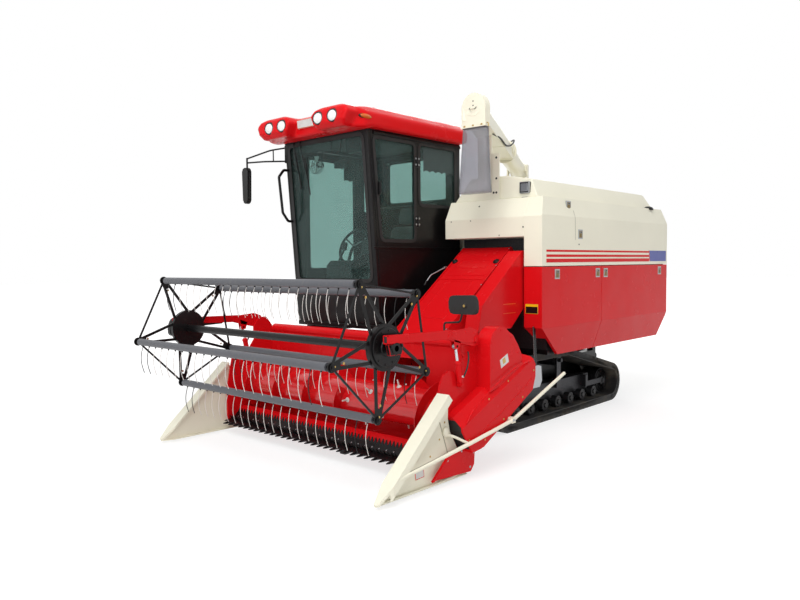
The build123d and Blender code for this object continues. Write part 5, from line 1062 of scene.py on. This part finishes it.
def guard_details():
    """Creases, bolts, blank labels, dark sheets painted as the shade of an open front, and the skid of the
    drive guard, and the splash plate.
    """
    piece = Piece("guard_details", "header", "red_paint", "rubber_seal", "bare_steel", "pale_plastic",
                  "brass")
    face, tall = GUARD_FACE, GUARD_FACE - 20
    for radius, line in (
            (4, [(-1520, 424), (-1470, 490), (-1315, 585), (-1089, 680), (-860, 765), (-700, 782)]),
            (3, [(-1420, 300), (-1100, 430), (-760, 590), (-668, 640)])):
        piece.tube(on_plane("x", face, line), radius, 0, 8, 40)
    # Two dark rubber sheets across the guard's front end: painted shade that stands for its open front.
    x0, x1 = HEADER_HALF + 32, face - 13
    for y, z, dy, dz, rows in (
            (-1564, 367, -23, 100, ((x0, 0), (x1, 0), (x1, 0.35), (x1 - 44, 0.80), (x0, 0.80))),
            (-1452, 202, -112, 165, oblong(x0, x1, 0.16, 1))):
        out = Vector((0, -dz, dy)).normalized()
        piece.slab([(x, y + dy * t, z + dz * t) for x, t in rows], out * 1.5, 1)
    for x, radius, finish, places in (
            (face, 5, 4, [(-1490, 300), (-1300, 270), (-1060, 380), (-800, 510), (-640, 700),
                          (-1250, 560), (-1000, 660)]),
            (tall, 5, 0, [(-1180, 960), (-1180, 780), (-1065, 1050), (-930, 985), (-830, 860)]),
            (face - 62, 6, 2, [(-1790, 86), (-1660, 180), (-1400, 80), (-1360, 180), (-1500, 215)])):
        piece.bolts(on_plane("x", x, places), LEFT, radius, finish)
    piece.plate([(-1066, 760), (-962, 800), (-980, 868), (-1084, 826)], "x", tall, tall + 2, 3, 1)
    piece.plate([(-1040, 790), (-1004, 804), (-1014, 842), (-1050, 828)], "x", tall + 1.5, tall + 2.6, 4, 1)
    piece.plate([(-1835, 64), (-1660, 206), (-1500, 236), (-1506, 226), (-1660, 190), (-1812, 64)],
                "x", face - 66, face - 54, 0, 2)
    piece.done()
    shield = Piece("splash_plate", "root", "bare_steel", "black_paint")
    line = [(-327, 486), (-310, 468), (-120, 468), (-83, 520), (-96, 650), (-150, 663), (-270, 655),
            (-318, 600)]
    shield.plate(line, "x", 1130, 1142, 0, 5)
    shield.slab([(1128, -200, 640), (1128, -160, 640), (1060, -70, 990), (1060, -110, 990)], (8, 0, 0), 1, 1)
    shield.done(slot="chrome")


def mirrors():
    """Rounded rubber shells with a pale glass, on bent stalks."""
    near = Piece("near_mirror", "header", "rubber_seal", "brass", "chrome")
    x, y, z = 890, -1131, 1150
    near.tube([(x, y, 976), (x, y, z - 65), (x + 140, y + 20, z - 55), (x + 170, y + 20, z + 30)],
              8, 0, 12, 22)
    head = on_plane("y", y, [(x + 40, z + 6), (x + 36, z + 150), (x + 300, z + 158), (x + 312, z + 8)])
    outline = [(p.x, p.z) for p in round_corners(head, 42, 6)]
    near.plate(outline, "y", y + 8, y + 42, 0, 12)
    near.plate([(x + 176 + (a - x - 176) * 0.88, z + 82 + (b - z - 82) * 0.84) for a, b in outline], "y",
               y + 40, y + 45, 2, 1)
    near.turned((x + 196, y + 9, z + 74), FRONT, [(0, 20), (5, 18), (8, 10), (12, 8)], 0, 20)
    near.bolts([(x + 196, y - 2, z + 74)], FRONT, 7, 1)
    near.rod((x, y, 975), (x, y, 990), 20, 0, 16, 2)
    near.done("left_mirror", slot="black_paint")
    far = Piece("far_mirror", "root", "black_paint", "rubber_seal", "chrome", "bare_steel")
    x, y, tip = CAB_RIGHT - 0.3, -1040, Vector((-1438.3, -1290, 2590))
    far.box(x - 14, x, y - 20, y + 20, 2540, 2710, 0, 4)
    far.tube([(x - 10, y, 2690), (x - 120, y - 110, 2665), tip], 8, 0, 12, 30)
    far.tube([(x - 10, y, 2560), (x - 180, y - 140, 2560), tip - Vector((0, 0, 40))], 8, 0, 12, 30)
    far.rod(tip + Vector((0, 0, 8)), tip - Vector((0, 0, 110)), 9, 0, 14, 3)
    far.rod((x - 100, y - 90, 2670), (x - 100, y - 90, 2556), 6, 0, 12)
    x, y, _ = tip
    shell = round_corners([(x - 40, y - 28, 2152), (x + 34, y - 28, 2152), (x + 44, y - 28, 2500),
                           (x - 50, y - 28, 2500)], 34, 6)
    far.slab(shell, (0, 46, 0), 1, 12)
    far.slab([(x + (p.x - x) * 0.84, y + 17, 2326 + (p.z - 2326) * 0.94) for p in shell], (0, 4, 0), 2, 1)
    far.bolts([(CAB_RIGHT - 14.3, -1040, z) for z in (2560, 2690)], RIGHT, 6, 3)
    far.done("right_mirror")


knife_teeth()
divider_details()
guard_details()
mirrors()


# ---- tracks
TRACK_MID = 570
ROLLERS, ROLLER_Y0, ROLLER_Y1, ROLLER_Z = 8, -90, 1690, 130
IDLER_Y, IDLER_Z = 1970, 210


def thinned(line, gap):
    """Closed outline without the points that stand nearer than a gap to the one before."""
    kept = line[:1]
    for point in line[1:]:
        if (point - kept[-1]).length >= gap and (point - kept[0]).length >= gap * 0.5:
            kept.append(point)
    return kept


def track_edges():
    """Smooth rims along both edges of each belt, and a black plate behind the rollers, painted shade that
    stands for the dark space there.
    """
    for name in ("track_left", "track_right"):
        places = places_of(name, [vertex.co for vertex in nodes[name].data.vertices])
        side = 1 if places[0].x > 0 else -1
        x_in, x_out = min(abs(p.x) for p in places), max(abs(p.x) for p in places)
        flat = [Vector((p.y, p.z)) for p in places]
        hull = [flat[index] for index in convex_hull_2d(flat)]
        rim = Piece(name + "_rims", "root", "track_rubber")
        for x, low, high in ((x_out, -26, 0), (x_in, 0, 26)):
            line = thinned([Vector((side * x, p.x, p.y)) for p in hull], 30)
            rim.hoop(line, LEFT, 62, 0, *sorted((side * low, side * high)))
        rim.done()
        # Black sheet inside the belt loop: painted shade behind the rollers.
        plate = Piece(name + "_painted_shade_plate", "root", "black_paint")
        middle = sum(hull, Vector((0, 0))) / len(hull)
        outline = [p - (p - middle).normalized() * 96 for p in thinned(hull, 160)]
        plate.plate([tuple(p) for p in outline], "x", *sorted((side * (x_in + 34), side * (x_in + 40))))
        plate.done()


def places_of(name, corners):
    """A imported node's own points, in millimetres of the shared frame."""
    return [nodes[name].matrix_world @ Vector(corner) / MM for corner in corners]


def roller_caps():
    """Hub caps with spokes on the outer sides of the rollers and idlers."""
    cap = Piece("roller_caps", "root", "dark_steel", "black_paint")
    roller = [(0, 56), (3, 56), (3, 48), (1, 46), (1, 26), (8, 24), (12, 20), (13, 4)]
    idler = [(0, 128), (8, 126), (8, 108), (2, 104), (2, 60), (24, 56), (34, 40), (36, 5)]
    for index in range(ROLLERS):
        y = ROLLER_Y0 + index * (ROLLER_Y1 - ROLLER_Y0) / (ROLLERS - 1)
        for side in (-1, 1):
            x = side * (TRACK_MID + 150)
            cap.turned((x, y, ROLLER_Z), (side, 0, 0), roller, 1, 24)
            ring = [(x + side, y + 38 * c, ROLLER_Z + 38 * s) for c, s in arc(6, 6)]
            cap.bolts(ring, (side, 0, 0), 5)
    for side in (-1, 1):
        x = side * (TRACK_MID + 90)
        cap.turned((x, IDLER_Y, IDLER_Z), (side, 0, 0), idler, 1, 36)
        for dy, dz in arc(6, 6):
            cap.slab([(x, IDLER_Y + dy * out - dz * wide, IDLER_Z + dz * out + dy * wide)
                      for out, wide in oblong(54.12, 104.96, 8.2, -8.2)], (side * 8, 0, 0), 1)
    cap.done(slot="black_paint")


track_edges()
roller_caps()


# ---- seat
SEAT_X = -525


def pad_ring(y, z, half_x, half_y, corner):
    """Level outline across the seat, its corners drawn in."""
    ring = [squared(*way, half_x, half_y, corner) for way in arc(48, 48)]
    return [(SEAT_X + x, y + dy, z) for x, dy in ring]


def settled(made):
    """Turns the shape that an object's modifiers give into its plain mesh."""
    graph = bpy.context.evaluated_depsgraph_get()
    mesh = bpy.data.meshes.new_from_object(made.evaluated_get(graph))
    made.modifiers.clear()
    made.data = mesh
    return mesh


def cushion(name, rings, rise, *replaced):
    """Stuffed cover: an even closed skin blown up by a cloth run, no point moving further than rise."""
    piece = Piece(name, "root", "seat_fabric")
    piece.skin(rings)
    made = piece.done(*replaced, sharp=180)
    modified(made, "voxels", "REMESH", mode="VOXEL", voxel_size=0.008, use_smooth_shade=True)
    settled(made)
    start = [vertex.co.copy() for vertex in made.data.vertices]
    cover = made.modifiers.new("cover", "CLOTH")
    cover.settings.use_pressure = True
    cover.settings.uniform_pressure_force = 4.0
    cover.settings.effector_weights.gravity = 0.0
    for moment in range(1, 21):
        bpy.context.scene.frame_set(moment)
    mesh = settled(made)
    bpy.context.scene.frame_set(1)
    for vertex, before in zip(mesh.vertices, start):
        move = vertex.co - before
        if move.length > rise * MM:
            vertex.co = before + move.normalized() * rise * MM
    modified(made, "fine", "SUBSURF", levels=1, render_levels=1)
    settled(made)


def seat():
    """Cushion, back and headrest, with piping along the cushion and back."""
    rows = ((1334, 205, 215), (1344, 228, 236), (1376, 234, 240), (1404, 230, 236), (1420, 205, 214),
            (1424, 150, 160))
    rings = [pad_ring(-275, z, half * 0.93, deep * 0.93, 0.34) for z, half, deep in rows]
    cushion("seat_cushion", rings, 9, "seat_cushions")
    rows = ((0.02, 150, 20), (0.04, 205, 34), (0.12, 222, 38), (0.5, 222, 34), (0.9, 208, 34),
            (0.97, 180, 28), (0.985, 120, 16))
    rings = [pad_ring(-60 + 85 * t, 1442 + 506 * t, half * 0.96, deep, 0.4) for t, half, deep in rows]
    cushion("seat_back", rings, 8)
    rows = ((0.03, 60, 12), (0.08, 98, 24), (0.5, 112, 28), (0.9, 98, 24), (0.97, 60, 12))
    rings = [pad_ring(25 + 25 * t, 1952 + 176 * t, half, deep, 0.5) for t, half, deep in rows]
    cushion("seat_headrest", rings, 6)
    base = Piece("seat_frame", "root", "cab_plastic", "rubber_seal", "black_paint")
    base.box(SEAT_X - 150, SEAT_X + 150, -420, -80, 1001, 1280, 2, 12)
    base.box(SEAT_X - 200, SEAT_X + 200, -470, -70, 1280, 1329, 0, 10)
    piping = pad_ring(-275, 1380, 232, 237, 0.34)
    base.tube(piping + piping[:1], 3, 1, 6)
    for side in (-1, 1):
        x = SEAT_X + side * 262
        base.tube([(x - side * 4, -60, 1440), (x, -60, 1620), (x, -330, 1640)], 16, 0, 10, 60)
        base.rod((SEAT_X + side * 60, 10, 1930), (SEAT_X + side * 60, 26, 1980), 7, 2, 10)
    base.done()


seat()


# ---- rear, right side, top and underside
REAR_Y = 2630
LOUVRE_PITCH, WIRE_PITCH = 28, 60


def rear_details():
    """Seams, latches, lamps, steps, louvres and handles on the sides that face away from the front."""
    piece = Piece("rear_details", "root", "seam_shade", "black_paint", "amber_lens", "red_lens", "lens",
                  "bare_steel")
    for z in (1516, 1000):
        piece.box(-1100, 1100, REAR_Y + 0.5, REAR_Y + 2.5, z - 3, z + 3, 0, 0)
    for x in (-960, 960):
        piece.box(x - 90, x + 90, REAR_Y, 2652, 1600, 1680, 1, 6)
        for finish, a in ((3, -84), (2, -26), (4, 32)):
            piece.box(x + a, x + a + 52, 2650, 2662, 1608, 1672, finish, 4)
        piece.box(x - 30, x + 30, REAR_Y, 2640, 1060, 1110, 3, 4)
    for z in (1180, 1240, 1300, 1360):
        piece.slab([(-520, 2631, z), (520, 2631, z), (520, 2646, z - 26), (-520, 2646, z - 26)], (0, 2, 3), 1)
    grille = on_plane("y", REAR_Y + 2, oblong(-560, 560, 1120, 1410))
    piece.hoop(round_corners(grille, 30), REAR, 8, 8, 0, 5, 1)
    for x in (-700, 700):
        piece.tube([(x, 2628, 1780), (x, 2668, 1790), (x, 2668, 1910), (x, 2628, 1920)], 9, 1, 10, 14)
    piece.bolts([(x, 2631, z) for x in (-1040, -520, 0, 520, 1040) for z in (1030, 1490, 1545, 1940)],
                REAR, 7, 5)
    piece.done(slot="black_paint")


def right_details():
    """Screened grille of the radiator door, and latches and a lamp on the right side."""
    door = Piece("radiator_screen", body_of("radiator_door"), "black_paint", "dark_steel", "bare_steel")
    places = places_of("radiator_door", nodes["radiator_door"].bound_box)
    (x, y0, z0), (_, y1, z1) = (map(way, zip(*places)) for way in (min, max))
    line = on_plane("x", x, oblong(y0 + 90, y1 - 90, z0 + 110, z1 - 110))
    door.hoop(round_corners(line, 40), RIGHT, 12, 10, -2, 6)
    for row in range(int((z1 - z0 - 260) / LOUVRE_PITCH)):
        z = z0 + 130 + row * LOUVRE_PITCH
        low, high = y0 + 104, y1 - 104
        door.slab([(x - 1, low, z), (x - 1, high, z), (x - 5, high, z + 12), (x - 5, low, z + 12)], (0, 0, 4))
    for column in range(int((y1 - y0 - 240) / WIRE_PITCH)):
        y = y0 + 120 + column * WIRE_PITCH
        door.box(x - 3, x + 1, y, y + 4, z0 + 110, z1 - 110, 1, 0)
    middle = (z0 + z1) / 2
    door.box(x - 8, x, y0 + 24, y0 + 60, middle - 50, middle + 50, 2, 3)
    door.bolts([(x, y, z) for y in (y0 + 34, y1 - 34) for z in (z0 + 40, z1 - 40)], RIGHT, 7, 2)
    door.done()
    side = Piece("right_details", "root", "bare_steel", "black_paint", "amber_lens")
    for y, z in ((2250, 1900), (2250, 1100), (2560, 1500)):
        side.box(-1150, -1142, y - 30, y + 30, z - 40, z + 40, 0, 2)
        side.box(-1153, -1149, y - 20, y + 20, z - 30, z + 30, 1, 2)
    side.box(-1156, -1142, 2480, 2580, 1640, 1690, 2, 5)
    side.done(slot="black_paint")


def top_details():
    """Tank lid's handles and hinges, and bolts on the top deck."""
    piece = Piece("top_details", "root", "cream_paint", "black_paint", "bare_steel")
    top = max(place.z for place in places_of("top_deck", nodes["top_deck"].bound_box))
    for x in (300, 800):
        piece.tube([(x + dx, 1700, top + rise) for dx, rise in ((-60, -4), (-60, 34), (60, 34), (60, -4))],
                   8, 1, 10, 16)
    for y in (900, 1500, 2100):
        piece.box(960, 1040, y - 24, y + 24, top - 2, top + 5)
        piece.bolts([(980, y, top + 5), (1020, y, top + 5)], UP, 7, 2)
    piece.bolts([(x, y, top) for x in (120, 1060) for y in (300, 700, 1100, 1900, 2400)], UP, 6, 2)
    piece.done()


def underside():
    """Cross members, hoses and drain plugs below the body."""
    piece = Piece("underside", "root", "black_paint", "rubber_seal", "bare_steel")
    for y in (300, 900, 1500, 2100):
        piece.box(-300, 300, y - 26, y + 26, 430, 470, 0, 4)
    for x, radius in ((-180, 12), (-140, 9)):
        piece.tube([(x, 260, 500), (x - 10, 700, 486), (x + 10, 1300, 492), (x, 1900, 486)],
                   radius, 1, 10, 60)
    for y in (500, 1200, 1900):
        piece.turned((120, y, 470), DOWN, [(0, 26), (8, 26), (12, 14), (18, 12)], 2, 12)
    piece.done()


rear_details()
right_details()
top_details()
underside()


# ---- camera, lamps and floor
CAMERA_AT = (4.413, -5.515, 1.557)
CAMERA_TURN, CAMERA_DOWN, CAMERA_ROLL = 42.31, 2.95, -0.55      # degrees
CAMERA_LENS = 32.21


def camera():
    data = bpy.data.cameras.new("camera")
    data.lens = CAMERA_LENS
    data.sensor_width = 36.0
    data.clip_end = 200.0
    made = linked("camera", data)
    turn, down, roll = (math.radians(a) for a in (CAMERA_TURN, CAMERA_DOWN, CAMERA_ROLL))
    ahead = Vector((-math.sin(turn) * math.cos(down), math.cos(turn) * math.cos(down), -math.sin(down)))
    level = ahead.cross(Vector((0, 0, 1))).normalized()
    up = level.cross(ahead)
    right = math.cos(roll) * level + math.sin(roll) * up
    top = -math.sin(roll) * level + math.cos(roll) * up
    made.matrix_world = Matrix.Translation(CAMERA_AT) @ Matrix((right, top, -ahead)).transposed().to_4x4()
    bpy.context.scene.camera = made


def lamp(name, at, aim, size, power):
    data = bpy.data.lights.new(name, "AREA")
    data.shape = "RECTANGLE"
    data.size, data.size_y = size
    data.energy = power
    made = linked(name, data)
    made.location = at
    made.rotation_euler = (Vector(aim) - Vector(at)).to_track_quat("-Z", "Y").to_euler()


def seen_by_eye_or_gloss(tree):
    """1 for rays that show the background: camera, glossy and transmission rays."""
    path = node(tree, "LightPath").outputs
    gloss = maths(tree, "MAXIMUM", path["Is Camera Ray"], path["Is Glossy Ray"])
    return maths(tree, "MAXIMUM", gloss, path["Is Transmission Ray"])


def world():
    made = bpy.data.worlds.new("studio")
    made.use_nodes = True
    tree = made.node_tree
    strength = scaled(tree, seen_by_eye_or_gloss(tree), 0.50, 1.0)
    fill(tree, tree.nodes["Background"], Color=WHITE, Strength=strength)
    bpy.context.scene.world = made


def floor():
    """White ground that takes soft shadows near the object and fades into the background further out."""
    size = 60.0
    data = bpy.data.meshes.new("floor")
    data.from_pydata([(x, y, 0) for x, y in oblong(-size, size, -size, size)], [], [(0, 1, 2, 3)])
    made = linked("floor", data)
    material, tree, shader = new_material("floor")
    fill(tree, shader, Base_Color=linear(0.96, 0.96, 0.96), Roughness=0.9, Specular_IOR_Level=0.0)
    distance = node(tree, "VectorMath", place(tree))
    distance.operation = "LENGTH"
    far = ramp(tree, distance.outputs["Value"], 4.0, 8.0)
    lit = node(tree, "AddShader", node(tree, "Emission", Color=WHITE, Strength=scaled(tree, far, 0.70, 1.0)),
               node(tree, "BsdfDiffuse", Color=linear(0.66, 0.66, 0.66)))
    blend = node(tree, "MixShader", seen_by_eye_or_gloss(tree), shader, lit)
    fill(tree, tree.nodes["Material Output"], blend)
    data.materials.append(material)


camera()
world()
floor()
lamp("key", (3.0, -5.0, 9.0), (0.2, 0.0, 1.2), (7.0, 7.0), 620)
lamp("front", (2.0, -11.0, 3.5), (0, -1.0, 1.2), (7.0, 4.0), 195)
lamp("back", (-6.0, 8.0, 6.0), (0, 0.5, 1.2), (6.0, 4.0), 300)

bpy.context.scene.view_settings.view_transform = "Standard"
